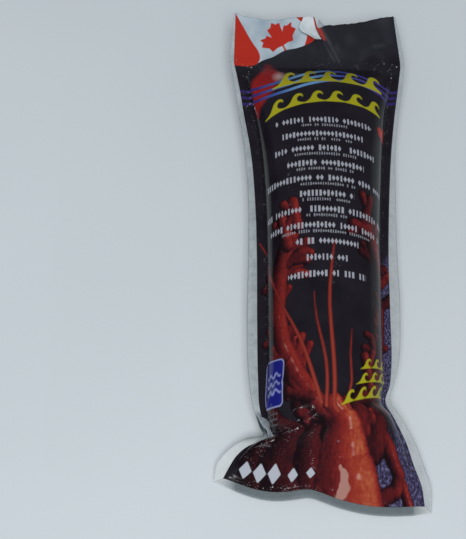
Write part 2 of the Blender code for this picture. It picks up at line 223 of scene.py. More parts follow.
@dataclass(frozen=True)
class PouchForm:
    """The laws of the pouch's shape, with the CAD source's sizes."""

    film: float = 0.7
    lip: float = 2.0
    front_power: float = 2.15
    back_power: float = 3.0
    rest_ends: Pair = (62.0, 216.0)
    rest_across: float = 0.4
    rest_hollow: float = 0.3
    rest_rise: float = 0.04
    foot_wave: float = 4.8
    foot_crest: float = -0.14
    foot_crest_rise: float = 4.5
    foot_crest_width: float = 0.22
    foot_wave_rounding: float = 0.03
    foot_reach: float = 26.0
    bottom_margin: float = 5.2
    bottom_drop: float = 1.0
    corner_share: float = 0.12
    top_weld: float = 5.0
    header_opening: float = 0.9
    header_rise: float = 6.5
    header_lobes: float = 1.2
    header_lobe_width: float = 16.0
    header_lobe_turn: float = 0.6
    header_crease: Crease = Crease((2.6, 147.5), (17.5, 123.0), 3.0, 4.6)
    flap_folds: tuple[Crease, ...] = (
        Crease((8.6, 147.4), (24.0, 124.0), -1.0, 2.0, 0.2),
        Crease((0.5, 145.5), (12.0, 126.0), -0.7, 2.2, 0.3),
        Crease((17.0, 137.5), (49.0, 139.5), -0.7, 2.6, 0.1),
        Crease((33.0, 151.0), (26.0, 132.0), 0.5, 4.0, 0.3),
        Crease((45.0, 156.0), (43.0, 136.0), -0.6, 3.2, 0.3),
        Crease((-46.5, 158.0), (-40.0, 139.0), -0.6, 3.4, 0.2),
        Crease((-31.0, 154.0), (-24.0, 136.0), 0.6, 3.2, 0.3),
        Crease((-15.0, 151.0), (-21.0, 134.0), -0.7, 3.4, 0.2),
    )
    facets: Pair = (0.55, 13.0)  # flat creased faces of the flap: height and size
    margin_taper: float = 0.5  # share of the side margins' width that is lost by the torn edge
    neck_creases: tuple[Crease, ...] = (
        Crease((-29.4, -116.5), (-5.0, -105.0), 4.2, 3.6),
        Crease((36.0, -97.5), (15.0, -100.5), 3.0, 4.2),
    )
    crease_free: float = 9.0
    print_width: float = 110.0  # of the flat film, between its clear margins
    dense: int = 161  # points across the loaf before they are spread evenly
    fillet: float = 1.3  # how far the film is rounded where the fin meets the loaf

    def __post_init__(self) -> None:
        """Works out the length along the pouch of each section."""
        table = np.array([astuple(section) for section in SECTIONS])
        middle = (table[:, 0:2] + table[:, 2:4]) / 2
        steps = np.linalg.norm(np.diff(middle, axis=0), axis=1)
        object.__setattr__(self, "table", table)
        object.__setattr__(self, "path", np.concatenate([[0.0], np.cumsum(steps)]))
        object.__setattr__(self, "length", float(steps.sum()))

    def rows(self, places: Array) -> Section:
        """The sections at these lengths along the pouch, each size as one array.

        Args:
            places: lengths along the pouch.

        Returns:
            The sections.
        """
        found = smooth_through(self.path, self.table, places)
        past_lip = np.clip((places - self.lip) / (self.length - 2 * self.lip), 0, 1) * self.length
        found[:, HEIGHTS] = smooth_through(self.path, self.table, past_lip)[:, HEIGHTS]
        return Section(*found.T)

    def underside(self, across: Array, places: Array) -> Array:
        """Lowest height of the inner face, hollow between the four corners that it rests on.

        Args:
            across: places across the loaf, -1 to 1.
            places: lengths along the pouch, one for each row.

        Returns:
            The heights.
        """
        half = (self.rest_ends[1] - self.rest_ends[0]) / 2
        away = np.abs(places - self.rest_ends[0] - half)[:, None]
        spread = np.clip(across / self.rest_across, -1, 1) ** 2 + np.minimum(1, away / half) ** 2
        hollow = self.rest_hollow * (1 - spread / 2)
        return self.film + hollow + self.rest_rise * np.maximum(0, away - half)

    def wave(self, points: Array, row: Section, places: Array) -> None:
        """Lowers and lifts the points near the foot as its wavy bottom edge asks, in place.

        Args:
            points: the film's points, in rows.
            row: the section of each row.
            places: lengths along the pouch, one for each row.
        """
        weight = np.clip(1 - places / self.foot_reach, 0, 1)[:, None] ** 2
        share = (points[..., 0] - row.left_x[:, None]) / (row.right_x - row.left_x)[:, None]
        across = np.clip(2 * share - 1, -1, 1)
        crest, rounding = self.foot_crest, self.foot_wave_rounding
        lobe = np.where(across < crest, (across + 1) / (crest + 1), (across - crest) / (1 - crest))
        hang = np.sqrt(np.sin(np.pi * lobe) ** 2 + rounding) - np.sqrt(rounding)
        points[..., 1] -= weight * self.foot_wave * hang
        lift = np.exp(-(((across - crest) / self.foot_crest_width) ** 2))
        points[..., 2] += weight * self.foot_crest_rise * lift

    def dense_film(self, side: Side, places: Array) -> Array:
        """Closely spaced points across one film: its left fin, the loaf and its right fin.

        Args:
            side: which film.
            places: lengths along the pouch, one for each row.

        Returns:
            An array of rows of points, in millimetres.
        """
        row = self.rows(places)
        left = np.stack([row.left_x, row.left_y], axis=1)
        right = np.stack([row.right_x, row.right_y], axis=1)
        span = np.linalg.norm(right - left, axis=1)
        outwards = (right - left) / span[:, None]
        turn = np.linspace(-np.pi / 2, np.pi / 2, self.dense)
        across = np.sign(turn) * np.abs(np.sin(turn)) ** (2 / self.front_power)
        front = side is Side.FRONT
        height, power = (row.crown, self.front_power) if front else (row.belly, self.back_power)
        rise = height[:, None] * (1 - np.abs(across) ** power).clip(0, 1) ** (1 / power)
        loaf = np.empty((len(places), self.dense, 3))
        reach = (span / 2 - row.fin)[:, None] * across
        loaf[..., :2] = ((left + right) / 2)[:, None] + reach[..., None] * outwards[:, None]
        loaf[..., 2] = row.seam[:, None] + side.value * rise
        loaf[..., 2] = np.maximum(loaf[..., 2], self.underside(across, places))
        if front:
            dent = sum(crease.dent(loaf[..., 0], loaf[..., 1]) for crease in self.neck_creases)
            loaf[..., 2] -= dent * np.clip(rise / self.crease_free, 0, 1)
        edge = (row.seam - row.droop)[:, None]
        ends = np.stack([np.hstack([left, edge]), np.hstack([right, edge])])
        share = np.linspace(0, 1, 9)[:-1, None]
        fin_left = ends[0][:, None] + share * (loaf[:, 0] - ends[0])[:, None]
        fin_right = ends[1][:, None] + share * (loaf[:, -1] - ends[1])[:, None]
        points = np.concatenate([fin_left, loaf, fin_right[:, ::-1]], axis=1)
        self.wave(points, row, places)
        return points

    def tube(self, side: Side, columns: int, places: Array) -> Film:
        """One film from the bottom weld to the top weld, its points evenly spread across it.

        Args:
            side: which film.
            columns: steps across the film.
            places: lengths along the pouch, one for each row.

        Returns:
            The film's mid surface.
        """
        dense = self.dense_film(side, places)
        steps = np.linalg.norm(np.diff(dense, axis=1), axis=2)
        arcs = np.concatenate([np.zeros((len(places), 1)), np.cumsum(steps, axis=1)], axis=1)
        share = np.linspace(0, 1, columns + 1)
        points = read_rows(share * arcs[:, -1:], arcs, dense)
        cell = arcs[:, -1].mean() / columns
        points = soften(points, self.fillet / cell)
        across = np.tile((share - 0.5) * self.print_width, (len(places), 1))
        return Film(points, across, np.tile(places[:, None], (1, columns + 1)))

    def header_surface(self, x: Array, y: Array, lift: Array) -> Array:
        """Height of the header at flat points: lift is 0 at the top weld and 1 at the torn edge.

        Args:
            x: places to the right.
            y: places up the pouch.
            lift: how far up the header each place is.

        Returns:
            The heights.
        """
        lobes = self.header_lobes * np.sin(x / self.header_lobe_width + self.header_lobe_turn)
        deep, size = self.facets
        lobes = lobes + deep * (0.6 - 2 * np.abs(chance(np.stack([x, y], axis=-1), size, 4.4)))
        dent = sum(crease.dent(x, y) for crease in (self.header_crease, *self.flap_folds))
        bend = (lobes - dent) * np.sin(np.pi * lift / 2)
        return SECTIONS[-1].seam + self.header_rise * lift + bend

    def header(self, side: Side, columns: int, lifts: Array, ragged: float) -> Film:
        """One film above the pouch's top: first the weld, then the torn flap.

        Args:
            side: which film.
            columns: steps across the film.
            lifts: 0 at the top weld to 1 at the torn edge, one for each row of the flap.
            ragged: how far the torn edge strays from its line.

        Returns:
            The film's mid surface.
        """
        last = SECTIONS[-1]
        share = np.linspace(0, 1, columns + 1)
        line = np.array(TORN_EDGE)
        torn_x = line[0, 0] + share * (line[-1, 0] - line[0, 0])
        torn_y = np.interp(torn_x, line[:, 0], line[:, 1])
        torn_y = torn_y + [ragged * noise.noise(Vector((x / 2.3, side.value * 5.0, 1.7))) for x in torn_x]
        low_x = last.left_x + share * (last.right_x - last.left_x)
        low_y = last.left_y + share * (last.right_y - last.left_y) + self.top_weld
        lift = lifts[:, None] * np.ones_like(share)
        x = low_x + lift * (torn_x - low_x)
        y = low_y + lift * (torn_y - low_y)
        z = self.header_surface(x, y, lift) + side.value * self.header_opening * lift
        weld = np.linspace(0, self.top_weld, 6)[1:-1, None] + np.zeros_like(share)
        x = np.concatenate([low_x + 0 * weld, x])
        y = np.concatenate([low_y - self.top_weld + weld, y])
        z = np.concatenate([last.seam + 0 * weld, z])
        along = self.length + y - (low_y - self.top_weld)
        across = np.broadcast_to((share - 0.5) * self.print_width, x.shape)
        return Film(np.stack([x, y, z], axis=2), across, along)

    def margin(self, left_side: bool, steps: int, places: Array) -> Array:
        """Rows of points from the print's edge to the outer edge of one clear side margin.

        Args:
            left_side: whether it is the left one.
            steps: steps from the print to the free edge.
            places: lengths along the pouch, one for each row.

        Returns:
            The rows of points.
        """
        row = self.rows(places)
        if left_side:
            inner = np.stack([row.left_x, row.left_y, row.seam - row.droop], axis=1)
            outer = np.stack([row.clear_left_x, row.clear_left_y, row.seam - 2 * row.droop], axis=1)
        else:
            inner = np.stack([row.right_x, row.right_y, row.seam - row.droop], axis=1)
            outer = np.stack([row.clear_right_x, row.clear_right_y, row.seam - 2 * row.droop], axis=1)
        share = np.linspace(0, 1, steps + 1)[:, None]
        return inner[:, None] + share * (outer - inner)[:, None]


def soften(points: Array, reach: float) -> Array:
    """Rounds rows of points along the row, with both ends kept.

    Args:
        points: rows of points.
        reach: spread of the rounding, in points.

    Returns:
        The rounded rows.
    """
    pad = int(3 * reach) + 1
    weights = np.exp(-((np.arange(-pad, pad + 1) / reach) ** 2) / 2)
    weights /= weights.sum()
    before = 2 * points[:, :1] - points[:, pad:0:-1]
    after = 2 * points[:, -1:] - points[:, -2 : -pad - 2 : -1]
    padded = np.concatenate([before, points, after], axis=1)
    count = points.shape[1]
    return sum(weight * padded[:, i : i + count] for i, weight in enumerate(weights))


FORM = PouchForm()
FLAT = (FORM.print_width, 320.0)  # the flat film that the UV map spans, in millimetres


# ---------------------------------------------------------------- the picture and the other print


@dataclass(frozen=True)
class Limb:
    """A tapered, rounded stretch of coral on the flat film, from one end to the other."""

    start: Pair
    start_radius: float
    end: Pair
    end_radius: float
    tone: float
    depth: float


@dataclass
class CoralPicture:
    """A red coral with a broad foot, two leaning crowns and a few sea whips between them."""

    seed: int = 11
    light: Triple = (0.66, 0.28, 0.70)
    shade: float = 0.12  # light on what faces away, and how much more of it a near, bright limb has
    near_shade: float = 1.2
    near_tone: float = 0.72
    full_light: float = 1.02
    falloff: float = 1.5
    rounding: float = 1.7  # how narrow the darker rim of a limb is
    gloss: Pair = (26.0, 5.0)  # how tight its shine is, and more for each millimetre of radius
    # The crowns' fingers: spacing, turn, length, radius, brightness and depth, and their forks
    finger_step: float = 7.5
    finger_steps: Pair = (0.6, 1.2)
    finger_turn: Pair = (0.5, 1.05)
    finger_length: Pair = (11, 19)
    finger_radius: Pair = (3.4, 4.8)
    finger_tone: Pair = (0.72, 1.12)
    finger_depth: Pair = (-3, 5)
    finger_taper: float = 0.86
    fork_turn: Pair = (0.5, 0.9)
    fork_at: float = 0.55
    fork_scale: Triple = (0.6, 0.84, 1.05)  # of length, radius and brightness
    gap: Pair = (-7.5, 9.0)  # kept clear between the crowns
    gap_reach: Pair = (50.0, 132.0)
    # Places and radii along each part, and how bright and how near they are
    tones: Triple = (0.72, 0.64, 0.95)  # left crown, right crown, foot
    depths: Triple = (-16.0, 0.0, 6.0)  # reef, crowns, foot
    foot: tuple = ((14, -6, 21), (12, 8, 18), (9, 22, 13.5), (6, 34, 9.5), (3, 44, 6.5))
    left_crown: tuple = (
        (2, 30, 8), (-9, 48, 6.5), (-20, 64, 7), (-29, 82, 8), (-33, 102, 8.5), (-30, 122, 7.5),
        (-23, 140, 6), (-17, 153, 4),
    )  # fmt: skip
    right_crown: tuple = (
        (9, 26, 8), (20, 44, 6.5), (33, 60, 7), (42, 82, 8), (43, 104, 8), (38, 126, 7),
        (29, 144, 6), (22, 156, 4),
    )  # fmt: skip
    reef: tuple = (
        (((-20, -4, 12), (-30, 12, 12), (-26, 28, 10), (-36, 40, 8), (-44, 52, 6)), 0.33),
        (((-40, 4, 9), (-42, 18, 8), (-36, 30, 8)), 0.30),
        (((-9, -6, 9), (-12, 14, 9), (-12, 32, 8), (-18, 48, 6)), 0.42),
        (((25, 24, 9), (28, 36, 8.5), (35, 47, 6)), 0.46),
        (((29, 30, 5), (36.5, 22, 4.4), (41.5, 13, 3.6), (39.5, 6, 3.8), (30, 2.2, 4), (20, -1, 4)), 0.66),
        (((48, -4, 3), (45.5, 3, 2.6), (43.5, 9, 2.4)), 0.72),
    )
    whips: tuple = (
        ((4, 40, 1.7), (4.0, 50, 1.35), (3.6, 60, 1.3), (2.9, 70, 1.25), (2.2, 80, 1.2), (1.6, 91, 1.1),
         (1.2, 102, 1.05), (1.5, 112, 1.0), (2.4, 122, 0.9), (3.5, 132, 0.75), (4.8, 141, 0.5)),
        ((-1, 44, 1.4), (-0.6, 52, 1.15), (-0.6, 60, 1.05), (-1.4, 69, 0.95), (-3, 78, 0.85),
         (-4.7, 86, 0.75), (-6.2, 94, 0.65), (-7.0, 102, 0.5), (-7.4, 110, 0.35)),
        ((-4, 46, 1.4), (-7, 56, 1.25), (-10, 66, 1.15), (-12.8, 75, 1.05), (-16, 84, 1.0), (-20.6, 94, 0.9),
         (-26, 104, 0.8), (-31.8, 115, 0.75), (-38, 126, 0.7), (-45.3, 138, 0.65), (-53, 150, 0.6)),
        ((12, 40, 1.2), (13.4, 48, 1.0), (14, 56, 0.85), (13.2, 64, 0.75), (12.5, 72, 0.65), (13.5, 86, 0.4)),
    )  # fmt: skip

    def grow(self, line: tuple, tone: float, depth: float, fingers: bool) -> list[Limb]:
        """Limbs along a line, with blunt fingers on alternate sides of it.

        Args:
            line: places and radii along the line.
            tone: how bright it is printed.
            depth: how near it is, over what lies beside it.
            fingers: whether it carries fingers.

        Returns:
            The limbs.
        """
        limbs = []
        since = 0.0
        for (x, y, r), (x2, y2, r2) in zip(line, line[1:]):
            limbs.append(Limb((x, y), r, (x2, y2), r2, tone, depth))
            length = math.hypot(x2 - x, y2 - y)
            while fingers and since < length:
                t = since / length
                side = self.draw.choice((-1.0, 1.0))
                heading = math.atan2(y2 - y, x2 - x)
                limbs += self.finger(x + t * (x2 - x), y + t * (y2 - y), heading, side, tone)
                since += self.finger_step * self.draw.uniform(*self.finger_steps)
            since -= length
        return limbs

    def finger(self, x: float, y: float, heading: float, side: float, tone: float) -> list[Limb]:
        """One forked finger that leaves a crown at x, y to one side of its heading.

        Args:
            x: where it starts across the film.
            y: where it starts along it.
            heading: the crown's own direction.
            side: 1 or -1, for its sides.
            tone: how bright the crown is.

        Returns:
            The finger's limbs.
        """
        heading += side * self.draw.uniform(*self.finger_turn)
        length, radius = self.draw.uniform(*self.finger_length), self.draw.uniform(*self.finger_radius)
        tone *= self.draw.uniform(*self.finger_tone)
        depth = self.draw.uniform(*self.finger_depth)
        limbs = []
        for _ in range(2):
            tip = (x + length * math.cos(heading), y + length * math.sin(heading))
            low, high = self.gap
            if self.gap_reach[0] < tip[1] < self.gap_reach[1] and low < tip[0] < high:
                break
            limbs.append(Limb((x, y), radius, tip, radius * self.finger_taper, tone, depth))
            x, y = x + self.fork_at * (tip[0] - x), y + self.fork_at * (tip[1] - y)
            heading += self.draw.uniform(*self.fork_turn) * self.draw.choice((-1.0, 1.0))
            length, radius, tone = np.multiply((length, radius, tone), self.fork_scale)
        return limbs

    def limbs(self) -> list[Limb]:
        """Every limb of the coral, drawn afresh from the seed.

        Returns:
            The limbs.
        """
        self.draw = np.random.default_rng(self.seed)
        behind, middle, before = self.depths
        found = []
        for line, tone in self.reef:
            found += self.grow(line, tone, behind, False)
        found += self.grow(self.left_crown, self.tones[0], middle, True)
        found += self.grow(self.right_crown, self.tones[1], middle, True)
        found += self.grow(self.foot, self.tones[2], before, False)
        return found

    def paint(self, across: Array, along: Array) -> dict[str, Array]:
        """The coral as numbers at each point of the film.

        Args:
            across: places across the flat film.
            along: places along it.

        Returns:
            Its signed edge distance, its light and its shine.
        """
        light = np.array(self.light) / np.linalg.norm(self.light)
        half = (light + (0, 0, 1)) / np.linalg.norm(light + (0, 0, 1))
        edge = np.full(across.shape, 99.0)
        top = np.full(across.shape, -99.0)
        lit = np.zeros(across.shape)
        shine = np.zeros(across.shape)
        for limb in self.limbs():
            line = np.subtract(limb.end, limb.start)
            t = ((across - limb.start[0]) * line[0] + (along - limb.start[1]) * line[1]) / (line @ line)
            t = t.clip(0, 1)
            radius = limb.start_radius + t * (limb.end_radius - limb.start_radius)
            away_x = across - limb.start[0] - t * line[0]
            away_y = along - limb.start[1] - t * line[1]
            away = np.hypot(away_x, away_y)
            edge = np.minimum(edge, away - radius)
            rise = np.sqrt(np.clip(radius**2 - away**2, 0, None))
            height = rise + limb.depth
            over = (away < radius) & (height > top)
            facing = (away_x * light[0] + away_y * light[1] + rise * light[2]) / radius
            glossy = (away_x * half[0] + away_y * half[1] + rise * half[2]) / radius
            rim = np.clip(self.rounding * rise / radius, 0, 1)
            shade = self.shade + self.near_shade * max(limb.tone - self.near_tone, 0.0)
            bright = shade + (self.full_light - shade) * facing.clip(0, 1) ** self.falloff
            lit = np.where(over, limb.tone * bright * (0.5 + 0.5 * rim), lit)
            tight, tighter = self.gloss
            shine = np.where(over, limb.tone * glossy.clip(0, 1) ** (tight + tighter * radius), shine)
            top = np.where(over, height, top)
        return {"coral_edge": edge, "coral_light": lit, "coral_shine": shine}


def from_line(line: tuple, across: Array, along: Array) -> Array:
    """Signed distance of each point to a drawn line of places and radii, negative inside it.

    Args:
        line: places and radii along the line.
        across: places across the flat film.
        along: places along it.

    Returns:
        The distances.
    """
    best = np.full(across.shape, 99.0)
    for (x, y, r), (x2, y2, r2) in zip(line, line[1:]):
        t = ((across - x) * (x2 - x) + (along - y) * (y2 - y)) / ((x2 - x) ** 2 + (y2 - y) ** 2)
        t = t.clip(0, 1)
        away = np.hypot(across - x - t * (x2 - x), along - y - t * (y2 - y))
        best = np.minimum(best, away - r - t * (r2 - r))
    return best


def from_outline(corners: Array, across: Array, along: Array) -> Array:
    """Signed distance of each point to a closed outline of corners, negative inside it.

    Args:
        corners: the outline's corners, in order.
        across: places across the flat film.
        along: places along it.

    Returns:
        The distances.
    """
    edge = [(*corner, 0.0) for corner in corners]
    away = from_line(tuple(edge + edge[:1]), across, along)
    inside = np.zeros(across.shape, bool)
    for (x, y), (x2, y2) in zip(corners, np.roll(corners, -1, axis=0)):
        if y != y2:
            left = across < x + (along - y) * (x2 - x) / (y2 - y)
            inside ^= ((y > along) != (y2 > along)) & left
    return np.where(inside, -away, away)


def box_edge(across: Array, along: Array, box: tuple, corner: float) -> Array:
    """Signed distance to a rounded box.

    Args:
        across: places across the flat film.
        along: places along it.
        box: its middle, its half sizes and its turn.
        corner: how far its corners are rounded.

    Returns:
        The distances, negative inside.
    """
    x, y, half_x, half_y, turn = box
    c, s = math.cos(turn), math.sin(turn)
    u = np.abs((across - x) * c + (along - y) * s) - half_x + corner
    v = np.abs((along - y) * c - (across - x) * s) - half_y + corner
    return np.hypot(u.clip(0), v.clip(0)) + np.minimum(np.maximum(u, v), 0) - corner


@dataclass
class FrontPrint:
    """Where the marks of the front film lie, on the flat film."""

    coral: CoralPicture = field(default_factory=CoralPicture)
    ribbon_line: tuple = (
        (-56, 249.0), (-37, 246.2), (-22, 249.6), (-6, 256.4), (8, 259.6), (24, 256.8), (36, 250.8),
        (44, 248.0), (56, 250.0),
    )  # fmt: skip
    ribbon_spread: Pair = (0.4, 24.0)  # how much wider apart they run at the middle
    band_edge: tuple = (
        (-58, 269.2), (-40, 270.6), (-37.6, 272.2), (-30, 275.6), (-21, 280.4), (-13, 282.2), (-7.5, 284.0),
        (-1, 287.8), (2, 292.0), (4, 306.0), (58, 330.0),
    )  # fmt: skip
    wedge_edge: tuple = (
        (268, -41), (271, -39.2), (274.5, -37.8), (278, -38.3), (285, -43.2), (293, -48.6), (303, -55),
    )  # fmt: skip
    stub_edge: tuple = (
        (280, -8.9), (283.6, -7.9), (289.9, -5.9), (294.5, -6.2), (298.4, -9.0), (301.2, -12.3), (304, -15.0),
    )  # fmt: skip
    sliver: tuple = ((2.7, 295.0, 1.4), (4.4, 291.0, 1.6), (5.9, 288.3, 1.0))
    tuck: tuple = ((-10.7, 294.6, 0.2), (-8.9, 292.6, 0.5), (-5.2, 290.3, 0.3))  # painted shadow beside the turned corner's edge
    leaf: tuple = (-24.24, 286.8, 12.8, 0.50)  # where it lies, its size and its turn
    small_leaf: tuple = (41.0, 217.0, 7.2, -0.45)
    leaf_half: tuple = (
        (0, 1.0), (0.15, 0.80), (0.38, 0.78), (0.30, 0.30), (0.54, 0.56), (0.64, 0.44), (0.98, 0.50),
        (0.85, 0.30), (1.04, 0.12), (0.70, -0.10), (0.62, -0.34), (0.34, -0.28), (0.045, -0.30),
        (0.055, -0.64), (0, -0.66),
    )  # fmt: skip
    # Rows of breaking waves: start, step, count, height, base line, its middle and its arch
    wave_rows: tuple = (
        (-35.5, 12.0, 6, 8.2, 236.2, 4.5, 0.0062),
        (-30.0, 13.6, 5, 10.6, 254.4, 4.0, 0.0056),
        (19.0, 7.6, 4, 5.4, 63.8, 40.0, 0.003),
        (17.0, 7.6, 4, 5.4, 55.2, 40.0, 0.003),
        (8.0, 8.4, 5, 6.2, 46.0, 40.0, 0.003),
    )
    # One wave, as shares of the step and the height: up its back, over its crest and out of its hollow
    crest: tuple = (
        (0, 0), (0.20, 0.06), (0.36, 0.24), (0.46, 0.52), (0.56, 0.82), (0.72, 1.0), (0.90, 0.98),
        (1.02, 0.80), (1.03, 0.56), (0.95, 0.70), (0.84, 0.76), (0.75, 0.66), (0.72, 0.46), (0.78, 0.24),
        (0.92, 0.10), (1.1, 0.02),
    )  # fmt: skip
    wave_base: float = -0.1
    wave_points: int = 46
    panel: tuple = (-38.6, 63.4, 11.4, 12.6, -0.10)  # its middle, its half sizes and its turn
    panel_corner: float = 3.0
    panel_waves: tuple = (58.2, 62.6, 67.0)
    panel_wave: tuple = (5.6, 1.1, 0.62)  # length, height and stroke of each wave
    # White lozenges: where each lies and its half sizes
    lozenges: tuple = (
        (-45.0, 8.8, 3.7, 5.3), (-36.8, 8.4, 3.7, 5.3), (-28.6, 8.8, 3.7, 5.3), (-18.2, 8.4, 2.9, 3.9),
        (-8.4, 9.4, 2.5, 3.1),
    )  # fmt: skip
    # The sand right of the coral: its left edge, and the gap in the coral where it shows through
    sand_edge: tuple = (
        (-5, 34), (10, 38), (25, 42), (45, 46.5), (80, 48.5), (110, 49), (132, 51.5), (145, 58),
    )  # fmt: skip
    sand_gap: tuple = (32.0, 17.0, 6.5, 1.5)  # its middle, its half width and how much longer it is
    # The red glow behind the left end of the ribbons
    glow: tuple = (
        (-33, 267, 3.0), (-32.2, 259, 6.8), (-36, 251.5, 8.3), (-38, 245, 5.5), (-41, 237.5, 2.8),
        (-41.5, 232, 1.3),
    )  # fmt: skip
    glow_ragged: Triple = (0.8, 8.0, 3.3)  # of its edge: how far, how fine and the seed
    glow_heart: tuple = (-26.0, 258.0, 2.6)
    bloom: tuple = ((9.2, 12.0, 2.4), (10.2, 8.2, 2.6), (11.2, 4.6, 3.0), (9.6, 1.6, 3.2))  # painted highlight: a pale ragged patch on the coral's foot
    bloom_ragged: Triple = (2.0, 2.6, 5.5)
    # Pale specks: ice crystals under the film, and painted sparkle and highlights where they follow ridges,
    # folds and welds
    frost: tuple[Crease, ...] = (
        # Beside the loaf's left edge, and less beside its right one
        Crease((-47.5, 262), (-47.5, 60), 0.45, 4.0, 0.15),
        Crease((-43.0, 140), (-42.5, 74), 0.9, 4.0, 0.05),
        Crease((-45.8, 246), (-43.8, 237), 1.8, 1.4, 0.0),
        Crease((49.0, 262), (48.0, 120), 0.55, 3.5, 0.2),
        Crease((-51, 252), (-47, 226), 1.4, 3.4, 0.2),
        # At the left neck, and a painted glint along the ridge that leaves it
        Crease((-45, 41), (-35, 37), 1.2, 2.2, 0.1),
        Crease((-29, 34.4), (-8, 41.4), 1.5, 1.3, 0.3),
        Crease((-48, 33), (-33, 28.4), 1.8, 1.2, 0.1),
        Crease((-39.5, 24.5), (-50, 18), 1.2, 1.5, 0.2),
        # Down the foot, as a patch and in lines of painted sparkle, and painted highlights beside its weld
        Crease((-36, 36), (-44, 2), 0.8, 8.0, 0.2),
        Crease((4.9, 31), (8.3, 15), 1.3, 1.0, 0.05),
        Crease((-13, 38), (-6, 5), 1.2, 1.2, 0.05),
        Crease((-24, 34), (-24, 8), 0.7, 1.6, 0.1),
        Crease((-43, 2.4), (6, 3.2), 1.2, 0.9, 0.0),
        Crease((-54, 0.5), (54, 0.5), 0.8, 1.4, 0.05),
        # Chance patches on the loaf, a painted highlight along a fold in it, and sparkle along the top weld
        Crease((5.8, 131), (4.8, 113), 1.1, 2.2, 0.2),
        Crease((11.0, 111), (11.4, 104), 0.8, 1.4, 0.2),
        Crease((-22.2, 204), (-20.8, 165), 0.8, 1.0, 0.0),
        Crease((0, 270), (52, 271), 0.8, 4.0, 0.1),
        Crease((-48, 268.5), (-38, 268.5), 1.3, 2.0, 0.1),
    )
    most_frost: float = 2.0
    # The film is dull, not glossy, from this place on, more so over this length, and its ink is painted a
    # lighter grey there as a painted sheen, but for one patch that stays glossy and dark
    matt_from: float = 262.0
    matt_over: float = 12.0
    gloss_patch: Crease = Crease((54.0, 276.0), (30.0, 275.5), 1.2, 5.5, 0.3)
    # Fine folds of the film beside the left neck, drawn as fine pale grey lines
    threads: tuple = (
        ((-50.6, 48.4, 0.1), (-46.0, 48.2, 0.25), (-43.0, 48.0, 0.1)),
        ((-41.5, 48.0, 0.1), (-34.0, 47.4, 0.35)),
        ((-47.4, 45.7, 0.1), (-41.0, 45.2, 0.3), (-35.6, 44.7, 0.3)),
        ((-46.4, 42.9, 0.1), (-42.0, 42.4, 0.25)),
        ((-40.5, 42.2, 0.1), (-37.0, 41.8, 0.3)),
        ((-35.6, 33.4, 0.1), (-31.5, 34.2, 0.3), (-29.8, 35.2, 0.3), (-31.0, 37.0, 0.2), (-35.0, 39.0, 0.1)),
        ((-43.0, 23.2, 0.1), (-39.4, 24.4, 0.3), (-35.4, 23.6, 0.3), (-33.4, 22.8, 0.1)),
    )
    # Painted glints: small white dots that stand in for highlights on the film, places and radii
    glints: tuple = (
        (-27.6, 34.1, 0.3), (-24.3, 34.8, 0.55), (-26.0, 34.4, 0.1), (-34.0, 28.0, 0.25),
        (-35.6, 28.4, 0.1), (-33.5, 23.4, 0.1), (-46.9, 268.6, 0.3), (-44.6, 267.4, 0.35),
        (-43.6, 268.0, 0.2), (-46.2, 264.0, 0.2), (-44.5, 241.5, 0.5), (-43.6, 238.8, 0.6),
        (-45.8, 237.4, 0.3), (-43.2, 237.0, 0.3), (-53.6, 273.2, 0.35), (-50.6, 272.2, 0.25),
        (44.2, 273.4, 0.4), (49.6, 273.0, 0.3), (52.6, 271.6, 0.35), (49.2, 266.0, 0.25),
        (49.0, 263.0, 0.5),
    )  # fmt: skip
    # Painted sheen: ridges and faces of the flap drawn paler, where they would catch the light
    scuffs: tuple[Crease, ...] = (
        Crease((7.2, 290.4), (15.0, 273.2), 0.34, 0.5, 0.1),
        Crease((5.4, 285.6), (12.2, 272.8), 0.30, 0.45, 0.1),
        Crease((4.6, 294.5), (9.8, 284.5), 0.30, 1.6, 0.2),
        Crease((39.0, 284.4), (47.0, 286.0), 0.16, 1.1, 0.1),
        Crease((-52.0, 272.4), (-40.0, 271.8), 0.5, 0.5, 0.1),
    )
    scuff_cloud: Triple = (0.22, 9.0, 8.8)  # how strong, how fine and the seed
    scuff_start: Pair = (2.0, 4.0)  # above the tube: where it begins, and over what length

    def waves(self, across: Array, along: Array) -> Array:
        """Signed distance to arched rows of breaking waves.

        Args:
            across: places across the flat film.
            along: places along it.

        Returns:
            The distances.
        """
        best = np.full(across.shape, 99.0)
        knots = np.arange(len(self.crest), dtype=float)
        line = smooth_through(knots, np.array(self.crest), np.linspace(0, knots[-1], self.wave_points))
        line = np.concatenate([line, [(line[-1, 0], self.wave_base), (0, self.wave_base)]])
        for start, step, count, height, base, middle, arch in self.wave_rows:
            for i in range(count):
                x = start + (i + line[:, 0]) * step
                y = base - arch * (x - middle) ** 2 + line[:, 1] * height
                best = np.minimum(best, from_outline(np.stack([x, y], axis=1), across, along))
        return best

    def from_leaf(self, leaf: tuple, across: Array, along: Array) -> Array:
        """Signed distance to a plain leaf of five toothed lobes on a short stalk.

        Args:
            leaf: its middle, its size and its turn.
            across: places across the flat film.
            along: places along it.

        Returns:
            The distances.
        """
        x, y, size, turn = leaf
        half = np.array(self.leaf_half)
        outline = np.concatenate([half, half[-2:0:-1] * (-1, 1)]) * size
        c, s = math.cos(turn), math.sin(turn)
        return from_outline(outline @ np.array([[c, s], [-s, c]]) + (x, y), across, along)

    def panel_strokes(self, across: Array, along: Array) -> Array:
        """Signed distance to the wave lines of the panel.

        Args:
            across: places across the flat film.
            along: places along it.

        Returns:
            The distances.
        """
        length, height, stroke = self.panel_wave
        places = np.linspace(-1.6, 1.6, 33)
        waves = []
        for middle in self.panel_waves:
            x = self.panel[0] + length * places
            y = middle + height * np.cos(2 * math.pi * places)
            waves.append(from_line(tuple(zip(x, y, 0 * places + stroke)), across, along))
        return np.minimum.reduce(waves)

